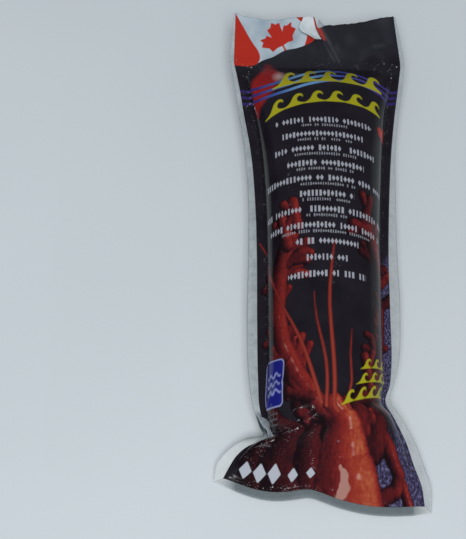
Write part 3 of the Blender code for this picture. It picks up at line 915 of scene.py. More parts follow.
    def from_lozenge(self, lozenge: tuple, across: Array, along: Array) -> Array:
        """Signed distance to a lozenge, given by its middle and its half sizes.

        Args:
            lozenge: its middle and its half sizes.
            across: places across the flat film.
            along: places along it.

        Returns:
            The distances.
        """
        x, y, half_x, half_y = lozenge
        slant = (np.abs(across - x) / half_x + np.abs(along - y) / half_y - 1) * half_x * half_y
        return slant / math.hypot(half_x, half_y)

    def marks(self, across: Array, along: Array) -> dict[str, Array]:
        """Every drawn mark, as a number at each point of the film that its material reads.

        Args:
            across: places across the flat film.
            along: places along it.

        Returns:
            Arrays by attribute name.
        """
        flat = np.stack([across, along], axis=2)
        found = self.coral.paint(across, along)
        found["whip"] = np.minimum.reduce([from_line(line, across, along) for line in self.coral.whips])
        found |= self.header_marks(across, along)
        found["wave"] = self.waves(across, along)
        found["small_leaf"] = self.from_leaf(self.small_leaf, across, along)
        found["panel"] = box_edge(across, along, self.panel, self.panel_corner)
        found["panel_marks"] = self.panel_strokes(across, along)
        white = [self.from_lozenge(each, across, along) for each in self.lozenges]
        found["white_marks"] = np.minimum.reduce(white)
        return found | self.soft_marks(across, along) | self.wear_marks(across, along)

    def header_marks(self, across: Array, along: Array) -> dict[str, Array]:
        """The ribbons under the header, and its band with red ends and a leaf.

        Args:
            across: places across the flat film.
            along: places along it.

        Returns:
            Arrays by attribute name.
        """
        wider, reach = self.ribbon_spread
        spread = 1 + wider * np.exp(-((across / reach) ** 2))
        wedge = across - smooth_line(self.wedge_edge, along)
        stub = smooth_line(self.stub_edge, along) - across
        return {
            "ribbon": (along - smooth_line(self.ribbon_line, across)) / spread,
            "band": along - smooth_line(self.band_edge, across),
            "band_red": np.minimum(np.minimum(wedge, stub), self.from_leaf(self.leaf, across, along)),
            "sliver": from_line(self.sliver, across, along),
        }

    def soft_marks(self, across: Array, along: Array) -> dict[str, Array]:
        """The marks that have a ragged or a soft edge: the picture's glow and sand, and a painted highlight
        patch.

        Args:
            across: places across the flat film.
            along: places along it.

        Returns:
            Arrays by attribute name.
        """
        flat = np.stack([across, along], axis=2)
        found = {}
        ragged = {"bloom": (self.bloom, self.bloom_ragged), "glow": (self.glow, self.glow_ragged)}
        for name, (line, (far, grain, seed)) in ragged.items():
            found[name] = from_line(line, across, along) + far * chance(flat, grain, seed)
        gap_x, gap_y, gap, longer = self.sand_gap
        gap = np.hypot(across - gap_x, (along - gap_y) / longer) - gap
        found["sand"] = np.minimum(smooth_line(self.sand_edge, along) - across, gap)
        heart_x, heart_y, heart = self.glow_heart
        found["glow_heart"] = np.hypot(across - heart_x, along - heart_y) - heart
        return found

    def wear_marks(self, across: Array, along: Array) -> dict[str, Array]:
        """Ice crystals with painted sparkle, painted glints, a painted shadow by the turned corner, fold
        lines, and painted sheen and dullness on the header.

        Args:
            across: places across the flat film.
            along: places along it.

        Returns:
            Arrays by attribute name.
        """
        frost = sum(patch.dent(across, along) for patch in self.frost)
        glint_dots = [np.hypot(across - x, along - y) - radius for x, y, radius in self.glints]
        threads = [from_line(line, across, along) for line in self.threads]
        deep, size, seed = self.scuff_cloud
        start, over = self.scuff_start
        header = np.clip((along - FORM.length - start) / over, 0, 1)
        scuff = sum(line.dent(across, along) for line in self.scuffs)
        sheen_mottle = chance(np.stack([across, along], axis=2), size, seed).clip(0)
        matt = np.clip((along - self.matt_from) / self.matt_over, 0, 1)
        return {
            "frost": np.clip(frost, 0, self.most_frost),
            "glint": np.minimum.reduce(glint_dots),
            "tuck": from_line(self.tuck, across, along),
            "thread": np.minimum.reduce(threads),
            "scuff": (scuff + deep * header * sheen_mottle).clip(0, 1),
            "matt": matt * np.clip(1 - self.gloss_patch.dent(across, along), 0, 1),
        }


def smooth_line(knots: tuple, places: Array) -> Array:
    """A smooth curve through pairs of place and value, read at an array of places.

    Args:
        knots: the pairs.
        places: where it is read.

    Returns:
        The values.
    """
    line = np.array(knots, float)
    flat = np.clip(places, line[0, 0], line[-1, 0]).ravel()
    return smooth_through(line[:, 0], line[:, 1:], flat)[:, 0].reshape(places.shape)


# ---------------------------------------------------------------- finishes


def linear(code: str) -> tuple[float, float, float, float]:
    """Turns an sRGB hex colour into linear red, green, blue and an alpha of 1."""
    parts = [int(code[i : i + 2], 16) / 255 for i in (1, 3, 5)]
    return (*[c / 12.92 if c <= 0.04045 else ((c + 0.055) / 1.055) ** 2.4 for c in parts], 1.0)


@dataclass
class Finish:
    """What every finish has: its name, its gloss and its index of refraction."""

    name: str
    roughness: float = 0.3
    ior: float = 1.5

    def begin(self) -> None:
        """Starts the finish's material and keeps its node tree and its shader."""
        material = bpy.data.materials.new(self.name)
        material.use_nodes = True
        shader = material.node_tree.nodes["Principled BSDF"]
        shader.inputs["IOR"].default_value = self.ior
        shader.inputs["Roughness"].default_value = self.roughness
        self.made, self.tree, self.shader = material, material.node_tree, shader

    def add(
        self,
        kind: str,
        values: dict | list | tuple = (),
        out: int | str = 0,
        stops: tuple = (),
        **settings: object,
    ) -> Socket:
        """Adds one node with its settings and links.

        Args:
            kind: the node's type, without its ShaderNode prefix. A maths node's operation follows a dot.
            values: what goes into its inputs, in order or by name. A socket is linked, None is left.
            out: name or number of the output to return.
            stops: places and hex colours or grey values of a colour ramp.
            settings: the node's own properties.

        Returns:
            The output socket.
        """
        kind, _, operation = kind.partition(".")
        node = self.tree.nodes.new("ShaderNode" + kind)
        if operation:
            node.operation = operation
        for name, value in settings.items():
            setattr(node, name, value)
        for name, value in values.items() if isinstance(values, dict) else enumerate(values):
            if isinstance(value, Socket):
                self.tree.links.new(value, node.inputs[name])
            elif isinstance(value, str):
                node.inputs[name].default_value = linear(value)
            elif value is not None:
                node.inputs[name].default_value = value
        elements = node.color_ramp.elements if stops else ()
        while len(elements) < len(stops):
            elements.new(1.0)
        for element, (place, colour) in zip(elements, stops):
            element.position = place
            element.color = linear(colour) if isinstance(colour, str) else (colour, colour, colour, 1)
        return node.outputs[out]

    def flat_place(self) -> Socket:
        """Adds the place on the flat film, in millimetres across it and along it."""
        flat = self.add("UVMap", out="UV", uv_map="flat")
        return self.add("Mapping", [flat, (-FLAT[0] / 2, 0, 0), None, (*FLAT, 1)])

    def wire(self, **sockets: Socket) -> Material:
        """Links sockets to the shader's inputs of those names and returns the material.

        Args:
            sockets: what goes into each input, with _ for a space in its name.

        Returns:
            The material.
        """
        for name, socket in sockets.items():
            self.tree.links.new(socket, self.shader.inputs[name.replace("_", " ")])
        return self.made


@dataclass(frozen=True)
class Ink:
    """One colour of the print, laid where a number kept on the mesh is below a level."""

    mark: str
    level: float
    colour: str
    soft: float = 0.22


# In the order of printing. The mark's own unit is a millimetre, or the half-width of a line.
UNDER_CORAL = (Ink("glow", 0.0, "#8a1d1d", 1.5), Ink("glow_heart", 0.0, "#b79a9a", 2.8))
OVER_CORAL = (Ink("whip", 0.0, "#6a201b"), Ink("whip", -0.5, "#8f382c", 0.35))
TOP_INKS = (
    Ink("wave", 0.0, "#a8a41e", 0.3),
    Ink("white_marks", 0.0, "#b0b6c0"),
    Ink("panel", 0.0, "#8b8fba"),
    Ink("panel", -0.8, "#1c2179"),
    Ink("panel_marks", 0.0, "#7f87ba"),
    Ink("small_leaf", 0.0, "#b4281c", 0.3),
)


@dataclass
class PrintedFilm(Finish):
    """Reverse-printed laminate film drawn tight over ice: aubergine black ink under a clear gloss."""

    row_top: float = 226.35  # the arched rows of small marks start here, in millimetres
    row_pitch: float = 10.1
    row_arch: float = 0.0022
    row_tilt: float = 0.045
    row_middle: float = 0.5
    tall_widths: tuple = (29, 25.5, 30.5, 22.5, 39, 16, 41, 37, 18.5, 12, 23, 0)  # half of each row
    low_widths: tuple = (13.5, 16, 18, 17, 17, 14.5, 12, 27, 0, 0, 0, 0)
    widest: float = 60.0

    def material(self) -> Material:
        """Builds the film's material, layer by layer from its ground up.

        Returns:
            The material.
        """
        self.begin()
        place = self.flat_place()
        ink = self.ground(place)
        ink = self.print_inks(ink, UNDER_CORAL)
        ink = self.ribbons(ink, place)
        ink = self.coral(ink, place)
        ink = self.print_inks(ink, OVER_CORAL)
        # Painted highlight: a pale ragged patch over the coral's foot
        ink = self.print_inks(ink, (Ink("bloom", 0.0, "#a97c72", 0.5),))
        ink = self.rows(ink, place)
        ink = self.print_inks(ink, TOP_INKS)
        ink = self.header_band(ink, place)
        return self.wear(ink, place)

    def print_inks(self, ink: Socket, layers: tuple[Ink, ...]) -> Socket:
        """Lays plain colours over what is printed so far.

        Args:
            ink: the colour so far.
            layers: the colours, in their order.

        Returns:
            The colour with them.
        """
        for layer in layers:
            value = self.add("Attribute", out="Fac", attribute_name=layer.mark)
            mask = self.add("MapRange", [value, layer.level - layer.soft, layer.level + layer.soft, 1.0, 0.0])
            ink = self.add("Mix", {0: mask, 6: ink, 7: layer.colour}, out=2, data_type="RGBA")
        return ink

    def ground(self, place: Socket) -> Socket:
        """Near-black ink with a faint mottle 20 mm across, and grainy violet sand at its foot.

        Args:
            place: the place on the flat film.

        Returns:
            The colour.
        """
        mottle = self.add("TexNoise", {"Vector": place, "Scale": 0.05, "Detail": 3.0})
        black = self.add("ValToRGB", [mottle], stops=((0.3, "#19161d"), (0.7, "#232027")))
        long = self.add("Mapping", [place, None, None, (1.0, 0.6, 1.0)])
        grit = self.add("TexNoise", {"Vector": long, "Scale": 0.95, "Detail": 4.0, "Roughness": 0.7})
        grains = ((0.36, "#1a1724"), (0.50, "#3a3552"), (0.62, "#68648a"), (0.76, "#a2a0bb"))
        sand = self.add("ValToRGB", [grit], stops=grains)
        edge = self.add("Attribute", out="Fac", attribute_name="sand")
        mask = self.add("MapRange", [edge, 0.0, 4.0, 1.0, 0.0])
        return self.add("Mix", {0: mask, 6: black, 7: sand}, out=2, data_type="RGBA")

    def ribbons(self, ink: Socket, place: Socket) -> Socket:
        """Three ribbons, each 1.8 mm wide and 4 mm from the next, pale blue between violet ends.

        Args:
            ink: the colour so far.
            place: the place on the flat film.

        Returns:
            The colour with them.
        """
        offset = self.add("Attribute", out="Fac", attribute_name="ribbon")
        turn = self.add("Math.MULTIPLY_ADD", [offset, 0.25, 0.5])
        turn = self.add("Math.FRACT", [turn])
        turn = self.add("Math.SUBTRACT", [turn, 0.5])
        turn = self.add("Math.ABSOLUTE", [turn])
        stripe = self.add("MapRange", [turn, 0.19, 0.26, 1.0, 0.0])
        reach = self.add("Math.ABSOLUTE", [offset])
        reach = self.add("MapRange", [reach, 5.8, 6.2, 1.0, 0.0])
        stripe = self.add("Math.MULTIPLY", [stripe, reach])
        across = self.add("SeparateXYZ", [place], out="X")
        side = self.add("MapRange", [across, -55.0, 55.0])
        hues = (
            (0.0, "#33275e"), (0.14, "#3a2f72"), (0.26, "#3f5ea2"), (0.38, "#6b9dcb"), (0.48, "#6c9aca"),
            (0.62, "#4c5cae"), (0.78, "#443a90"), (1.0, "#30245c"),
        )  # fmt: skip
        hue = self.add("ValToRGB", [side], stops=hues)
        return self.add("Mix", {0: stripe, 6: ink, 7: hue}, out=2, data_type="RGBA")

    def coral(self, ink: Socket, place: Socket) -> Socket:
        """The coral: blood red in its shade to orange where it is lit, streaked and pitted 1.6 mm apart.

        Args:
            ink: the colour so far.
            place: the place on the flat film.

        Returns:
            The colour with it.
        """
        lit = self.add("Attribute", out="Fac", attribute_name="coral_light")
        pits = self.add("TexVoronoi", {"Vector": place, "Scale": 0.62, "Randomness": 0.9}, out="Distance")
        skin = self.add("TexNoise", {"Vector": place, "Scale": 0.24, "Detail": 5.0, "Roughness": 0.65})
        long = self.add("Mapping", [place, None, None, (1.0, 0.3, 1.0)])
        streaks = self.add("TexNoise", {"Vector": long, "Scale": 0.5, "Detail": 4.0, "Roughness": 0.6})
        tone = self.add("Math.MULTIPLY_ADD", [pits, -0.12, -0.11])
        tone = self.add("Math.MULTIPLY_ADD", [streaks, 0.28, tone])
        tone = self.add("Math.ADD", [tone, lit])
        skin = self.add("Math.MULTIPLY_ADD", [skin, 0.30, -0.15])
        tone = self.add("Math.ADD", [tone, skin])
        reds = (
            (0.08, "#170b10"), (0.28, "#391419"), (0.48, "#5f1b1d"), (0.68, "#802622"), (0.86, "#98392a"),
            (1.0, "#ad5a3c"),
        )  # fmt: skip
        red = self.add("ValToRGB", [tone], stops=reds)
        edge = self.add("Attribute", out="Fac", attribute_name="coral_edge")
        mask = self.add("MapRange", [edge, -0.35, 0.35, 1.0, 0.0])
        ink = self.add("Mix", {0: mask, 6: ink, 7: red}, out=2, data_type="RGBA")
        shine = self.add("Attribute", out="Fac", attribute_name="coral_shine")
        shine = self.add("Math.MULTIPLY_ADD", [skin, 2.4, shine])
        shine = self.add("MapRange", [shine, 0.52, 1.05, 0.0, 0.6])
        return self.add("Mix", {0: shine, 6: ink, 7: "#d6aca0"}, out=2, data_type="RGBA")

    def rows(self, ink: Socket, place: Socket) -> Socket:
        """Arched rows of small pale bars and lozenges: in each pitch a tall row over a low one.

        Args:
            ink: the colour so far.
            place: the place on the flat film.

        Returns:
            The colour with them.
        """
        across = self.add("SeparateXYZ", [place], out="X")
        along = self.add("SeparateXYZ", [place], out="Y")
        line = self.add("Math.MULTIPLY", [across, across])
        line = self.add("Math.MULTIPLY_ADD", [line, self.row_arch, along])
        line = self.add("Math.MULTIPLY_ADD", [across, self.row_tilt, line])
        step = self.add("Math.MULTIPLY_ADD", [line, -1 / self.row_pitch, self.row_top / self.row_pitch])
        row = self.add("Math.FLOOR", [step])
        part = self.add("Math.FRACT", [step])
        low = self.add("Math.GREATER_THAN", [part, 0.74])
        # Marks 2.2 mm apart in a tall row and 1.4 mm in a low one, some left out
        pitch = self.add("Math.MULTIPLY_ADD", [low, 0.27, 0.45])
        cell = self.add("Math.MULTIPLY", [across, pitch])
        cell = self.add("Math.MULTIPLY_ADD", [row, 0.37, cell])
        number = self.add("Math.FLOOR", [cell])
        key = self.add("CombineXYZ", [number, row, low])
        luck = self.add("TexWhiteNoise", [key], out="Value", noise_dimensions="3D")
        there = self.add("Math.GREATER_THAN", [luck, 0.13])
        below_top = self.add("Math.GREATER_THAN", [row, -0.5])
        mask = self.bar_or_lozenge(cell, part, low, luck)
        for factor in (self.in_row(across, row, low), there, below_top):
            mask = self.add("Math.MULTIPLY", [mask, factor])
        faint = self.add("Math.MULTIPLY_ADD", [low, -0.35, 0.92])
        mask = self.add("Math.MULTIPLY", [mask, faint])
        return self.add("Mix", {0: mask, 6: ink, 7: "#a6a9b3"}, out=2, data_type="RGBA")

    def in_row(self, across: Socket, row: Socket, low: Socket) -> Socket:
        """Whether a place is within its row's reach from the middle.

        Args:
            across: the place across the film.
            row: the number of the pitch.
            low: whether it is the pitch's low row.

        Returns:
            1 within the row, else 0.
        """
        count = len(self.tall_widths)
        which = self.add("Math.MULTIPLY_ADD", [row, 1 / count, 0.5 / count])
        reaches = []
        for widths in (self.tall_widths, self.low_widths):
            stops = tuple((i / count, width / self.widest) for i, width in enumerate(widths))
            reaches.append(self.add("ValToRGB", [which], stops=stops))
            reaches[-1].node.color_ramp.interpolation = "CONSTANT"
        reach = self.add("Mix", {0: low, 6: reaches[0], 7: reaches[1]}, out=2, data_type="RGBA")
        reach = self.add("Math.MULTIPLY", [reach, self.widest])
        away = self.add("Math.SUBTRACT", [across, self.row_middle])
        away = self.add("Math.ABSOLUTE", [away])
        return self.add("Math.GREATER_THAN", [reach, away])

    def bar_or_lozenge(self, cell: Socket, part: Socket, low: Socket, luck: Socket) -> Socket:
        """One small mark of a row, soft at its edge.

        Args:
            cell: the place along the row, in marks.
            part: the place down the pitch, 0 to 1.
            low: whether it is the pitch's low row.
            luck: the mark's own chance, 0 to 1.

        Returns:
            1 inside the mark, else 0.
        """
        # A tall row fills the pitch from 0.31 to 0.69 and a low one from 0.79 to 0.99
        middle = self.add("Math.MULTIPLY_ADD", [low, 0.39, 0.5])
        half = self.add("Math.MULTIPLY_ADD", [low, -0.09, 0.19])
        spot = self.add("Math.FRACT", [cell])
        spot = self.add("Math.SUBTRACT", [spot, 0.5])
        spot = self.add("Math.ABSOLUTE", [spot])
        room = self.add("MapRange", [luck, 0.0, 1.0, 0.17, 0.33])
        bar = self.add("Math.DIVIDE", [spot, room])
        off = self.add("Math.SUBTRACT", [part, middle])
        off = self.add("Math.ABSOLUTE", [off])
        off = self.add("Math.DIVIDE", [off, half])
        bar = self.add("Math.MAXIMUM", [bar, off])
        gem = self.add("Math.MULTIPLY_ADD", [spot, 1 / 0.46, off])
        kind = self.add("Math.MULTIPLY", [luck, 7.0])
        kind = self.add("Math.FRACT", [kind])
        kind = self.add("Math.GREATER_THAN", [kind, 0.45])
        shape = self.add("Mix", {0: kind, 2: bar, 3: gem})
        return self.add("MapRange", [shape, 0.85, 1.15, 1.0, 0.0])

    def header_band(self, ink: Socket, place: Socket) -> Socket:
        """The header's dull film with painted sheen, and the diagonal band across it: white with painted fold
        shade, red ends, a red leaf and a painted shadow by the turned corner.

        Args:
            ink: the colour so far.
            place: the place on the flat film.

        Returns:
            The colour with it.
        """
        # Painted sheen: the dull header's ink lifted to grey
        matt = self.add("Attribute", out="Fac", attribute_name="matt")
        ink = self.add("Mix", {0: matt, 6: ink, 7: "#26262d"}, out=2, data_type="RGBA")
        # Painted sheen: paler grey on the flap's ridges and faces
        scuff = self.add("Attribute", out="Fac", attribute_name="scuff")
        ink = self.add("Mix", {0: scuff, 6: ink, 7: "#5a5b63"}, out=2, data_type="RGBA")
        band = self.add("Attribute", out="Fac", attribute_name="band")
        band = self.add("MapRange", [band, -0.2, 0.2])
        # Blue-grey mottle on the white band: painted shade of its soft folds
        cloud = self.add("TexNoise", {"Vector": place, "Scale": 0.075, "Detail": 1.5})
        white = self.add("ValToRGB", [cloud], stops=((0.36, "#98a9b5"), (0.62, "#b3c2cb")))
        # Painted shadow beside the turned corner, then the red ends and the leaf
        paint = self.print_inks(white, (Ink("tuck", 0.0, "#66727c", 0.4), Ink("band_red", 0.0, "#b02e23")))
        ink = self.add("Mix", {0: band, 6: ink, 7: paint}, out=2, data_type="RGBA")
        return self.print_inks(ink, (Ink("sliver", 0.0, "#9a3a32", 0.7),))

    def wear(self, ink: Socket, place: Socket) -> Material:
        """Ice-crystal specks 1 mm apart under the film, partly painted sparkle, fine fold lines and painted
        glints, and a gloss that is duller on the header.

        Args:
            ink: the colour so far.
            place: the place on the flat film.

        Returns:
            The material.
        """
        specks = self.add("TexVoronoi", {"Vector": place, "Scale": 0.9}, out="Distance")
        specks = self.add("MapRange", [specks, 0.14, 0.34, 1.0, 0.0])
        grain = self.add("TexNoise", {"Vector": place, "Scale": 0.22, "Detail": 4.0, "Roughness": 0.7})
        patch = self.add("MapRange", [grain, 0.50, 0.64])
        frost = self.add("Attribute", out="Fac", attribute_name="frost")
        for factor in (patch, frost):
            specks = self.add("Math.MULTIPLY", [specks, factor])
        # Pale specks: ice crystals, partly painted sparkle
        ink = self.add("Mix", {0: specks, 6: ink, 7: "#b0b0b6"}, out=2, data_type="RGBA")
        # Fine pale fold lines, then painted glints: white dots for highlights
        ink = self.print_inks(ink, (Ink("thread", 0.0, "#66666d", 0.5), Ink("glint", 0.0, "#dcdde2", 0.35)))
        matt = self.add("Attribute", out="Fac", attribute_name="matt")
        dull = self.add("Math.MULTIPLY_ADD", [grain, 0.10, self.roughness - 0.05])
        dull = self.add("Math.MULTIPLY_ADD", [matt, 0.22, dull])
        crinkle = self.add("TexNoise", {"Vector": place, "Scale": 0.35, "Detail": 3.0, "Distortion": 0.6})
        bump = self.add("Bump", {"Strength": 0.3, "Distance": 0.0003, "Height": crinkle}, out="Normal")
        return self.wire(Base_Color=ink, Roughness=dull, Normal=bump)


@dataclass
class BackFilm(Finish):
    """The same laminate behind: black ink with plain panels of pale, broken lines."""

    panels: tuple = ((-26.0, 150.0, 18.0, 62.0), (24.0, 168.0, 20.0, 44.0), (24.0, 92.0, 20.0, 18.0))
    line_pitch: float = 3.2

    def material(self) -> Material:
        """Builds the back film's material.

        Returns:
            The material.
        """
        self.begin()
        place = self.flat_place()
        mottle = self.add("TexNoise", {"Vector": place, "Scale": 0.05, "Detail": 3.0})
        ink = self.add("ValToRGB", [mottle], stops=((0.3, "#0d0b0f"), (0.7, "#18151c")))
        across = self.add("SeparateXYZ", [place], out="X")
        along = self.add("SeparateXYZ", [place], out="Y")
        step = self.add("Math.MULTIPLY", [along, 1 / self.line_pitch])
        row = self.add("Math.FLOOR", [step])
        part = self.add("Math.FRACT", [step])
        thick = self.add("Math.LESS_THAN", [part, 0.42])
        key = self.add("CombineXYZ", [row, 0.0, 0.0])
        luck = self.add("TexWhiteNoise", [key], out="Value", noise_dimensions="3D")
        dash = self.add("Math.MULTIPLY", [luck, 7.0])
        dash = self.add("Math.MULTIPLY_ADD", [across, 0.16, dash])
        dash = self.add("Math.FRACT", [dash])
        dash = self.add("Math.LESS_THAN", [dash, 0.86])
        for x, y, half_x, half_y in self.panels:
            mask = thick
            for value, middle, half in ((across, x, half_x), (along, y, half_y)):
                away = self.add("Math.SUBTRACT", [value, middle])
                away = self.add("Math.ABSOLUTE", [away])
                away = self.add("Math.LESS_THAN", [away, half])
                mask = self.add("Math.MULTIPLY", [mask, away])
            mask = self.add("Math.MULTIPLY", [mask, dash])
            mask = self.add("Math.MULTIPLY", [mask, 0.75])
            ink = self.add("Mix", {0: mask, 6: ink, 7: "#8e90a0"}, out=2, data_type="RGBA")
        grain = self.add("TexNoise", {"Vector": place, "Scale": 0.22, "Detail": 4.0, "Roughness": 0.7})
        dull = self.add("Math.MULTIPLY_ADD", [grain, 0.16, self.roughness - 0.06])
        crinkle = self.add("TexNoise", {"Vector": place, "Scale": 0.35, "Detail": 3.0, "Distortion": 0.6})
        bump = self.add("Bump", {"Strength": 0.3, "Distance": 0.0003, "Height": crinkle}, out="Normal")
        return self.wire(Base_Color=ink, Roughness=dull, Normal=bump)


@dataclass
class ClearFilm(Finish):
    """Unprinted film, two layers melted into one: slightly milky, and rippled about 4 mm apart, paler with a
    painted sheen where marked and with painted shade where it is folded under.
    """

    tint: tuple[str, str] = ("#b2bcc0", "#c9d2d6")
    body: Pair = (0.40, 0.50)
    rim: str = "#a4afb3"
    milk: str = "#f4f8fa"  # where the film is paler: milky, with a painted sheen
    pocket: str = "#3a484e"  # painted shade where it is folded under

    def material(self) -> Material:
        """Builds the clear film's material.

        Returns:
            The material.
        """
        self.begin()
        place = self.add("TexCoord", out="Object")
        haze = self.add("TexNoise", {"Vector": place, "Scale": 140.0, "Detail": 4.0, "Roughness": 0.6})
        tint = self.add("ValToRGB", [haze], stops=((0.35, self.tint[0]), (0.65, self.tint[1])))
        edge = self.add("Attribute", out="Fac", attribute_name="rim")
        tint = self.add("Mix", {0: edge, 6: tint, 7: self.rim}, out=2, data_type="RGBA")
        alpha = self.add("MapRange", [haze, 0.35, 0.65, *self.body])
        alpha = self.add("Math.MULTIPLY_ADD", [edge, 0.15, alpha], use_clamp=True)
        for name, colour, more in (("milk", self.milk, 0.1), ("pocket", self.pocket, 0.45)):
            there = self.add("Attribute", out="Fac", attribute_name=name)
            tint = self.add("Mix", {0: there, 6: tint, 7: colour}, out=2, data_type="RGBA")
            alpha = self.add("Math.MULTIPLY_ADD", [there, more, alpha], use_clamp=True)
        ripple = self.add("TexNoise", {"Vector": place, "Scale": 260.0, "Detail": 2.0})
        bump = self.add("Bump", {"Strength": 0.35, "Distance": 0.0003, "Height": ripple}, out="Normal")
        return self.wire(Base_Color=tint, Alpha=alpha, Normal=bump)


@dataclass
class WhiteFilm(Finish):
    """The film's unprinted inner face: opaque white polythene with a soft sheen and faint creases."""

    tones: tuple[str, str] = ("#b9c4cb", "#d5dde1")

    def material(self) -> Material:
        """Builds the white film's material.

        Returns:
            The material.
        """
        self.begin()
        place = self.add("TexCoord", out="Object")
        cloud = self.add("TexNoise", {"Vector": place, "Scale": 90.0, "Detail": 3.0})
        white = self.add("ValToRGB", [cloud], stops=((0.35, self.tones[0]), (0.65, self.tones[1])))
        crease = self.add("TexNoise", {"Vector": place, "Scale": 240.0, "Detail": 3.0, "Distortion": 1.2})
        bump = self.add("Bump", {"Strength": 0.3, "Distance": 0.0003, "Height": crease}, out="Normal")
        return self.wire(Base_Color=white, Normal=bump)


@dataclass
class BrineIce(Finish):
    """Frozen brine round dark red seafood: cloudy white ice, frosted, with trapped air."""

    def material(self) -> Material:
        """Builds the ice's material.

        Returns:
            The material.
        """
        self.begin()
        place = self.add("TexCoord", out="Object")
        cloud = self.add("TexNoise", {"Vector": place, "Scale": 45.0, "Detail": 5.0, "Roughness": 0.6})
        hues = ((0.36, "#7d2c22"), (0.48, "#b98a7e"), (0.60, "#d9dcdb"), (0.74, "#eef2f3"))
        ice = self.add("ValToRGB", [cloud], stops=hues)
        bubbles = self.add("TexVoronoi", {"Vector": place, "Scale": 420.0}, out="Distance")
        self.shader.inputs["Subsurface Weight"].default_value = 0.3
        self.shader.inputs["Subsurface Radius"].default_value = (0.006, 0.004, 0.004)
        bump = self.add("Bump", {"Strength": 0.5, "Distance": 0.0004, "Height": bubbles}, out="Normal")
        return self.wire(Base_Color=ice, Normal=bump)


@dataclass
class TableTop(Finish):
    """A pale painted table: cool white, barely mottled, with a soft low gloss."""

    def material(self) -> Material:
        """Builds the table's material.

        Returns:
            The material.
        """
        self.begin()
        place = self.add("TexCoord", out="Object")
        cloud = self.add("TexNoise", {"Vector": place, "Scale": 3.0, "Detail": 2.0})
        pale = self.add("ValToRGB", [cloud], stops=((0.3, "#d0d9dd"), (0.7, "#d8e0e4")))
        return self.wire(Base_Color=pale)


# ---------------------------------------------------------------- pieces


@dataclass
class Piece:
    """One finished piece of the pouch: a grid of points that is bent to its form."""

    name: str
    slot: str
    replaced: tuple[str, ...]
    gauge: float  # thickness in millimetres
    material: Material

    def build(self, points: Array, marks: dict, flat: tuple = (), face_down: bool = False) -> None:
        """Adds a grid, moves its points, gives it a map, marks and a thickness, and finishes it.

        Args:
            points: rows of points in millimetres, running to the right and up.
            marks: numbers at each point, by name.
            flat: places across and along the flat film, or nothing where no map is read.
            face_down: whether the outer side is the lower one.
        """
        rows, columns = points.shape[:2]
        bpy.ops.object.select_all(action="DESELECT")
        bpy.ops.mesh.primitive_grid_add(x_subdivisions=columns - 1, y_subdivisions=rows - 1, size=1.0)
        piece = bpy.context.object
        piece.name = piece.data.name = self.name
        mesh = piece.data
        mesh.vertices.foreach_set("co", (points * MM).ravel())
        if flat:
            mesh.uv_layers[0].name = "flat"
            corner = np.empty(len(mesh.loops), int)
            mesh.loops.foreach_get("vertex_index", corner)
            across, along = flat
            places = np.stack([across / FLAT[0] + 0.5, along / FLAT[1]], axis=2).reshape(-1, 2)
            mesh.uv_layers[0].data.foreach_set("uv", places[corner].ravel())
        for name, values in marks.items():
            kept = mesh.attributes.new(name, "FLOAT", "POINT")
            kept.data.foreach_set("value", values.ravel())
        if face_down:
            bpy.ops.object.mode_set(mode="EDIT")
            bpy.ops.mesh.select_all(action="SELECT")
            bpy.ops.mesh.flip_normals()
            bpy.ops.object.mode_set(mode="OBJECT")
        solid = piece.modifiers.new("gauge", "SOLIDIFY")
        solid.thickness, solid.offset = self.gauge * MM, -1.0
        bpy.ops.object.modifier_apply(modifier=solid.name)
        bpy.ops.object.shade_smooth()
        self.finish(piece)

    def finish(self, piece: bpy.types.Object) -> None:
        """Gives a built piece its material and its body, and hides the nodes that it stands for.

        Args:
            piece: the built piece.
        """
        piece.data.materials.clear()
        piece.data.materials.append(self.material)
        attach(piece, "root")
        if self.replaced:
            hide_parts(*self.replaced)
        LOG.info("%s: %d triangles", piece.name, sum(len(p.vertices) - 2 for p in piece.data.polygons))


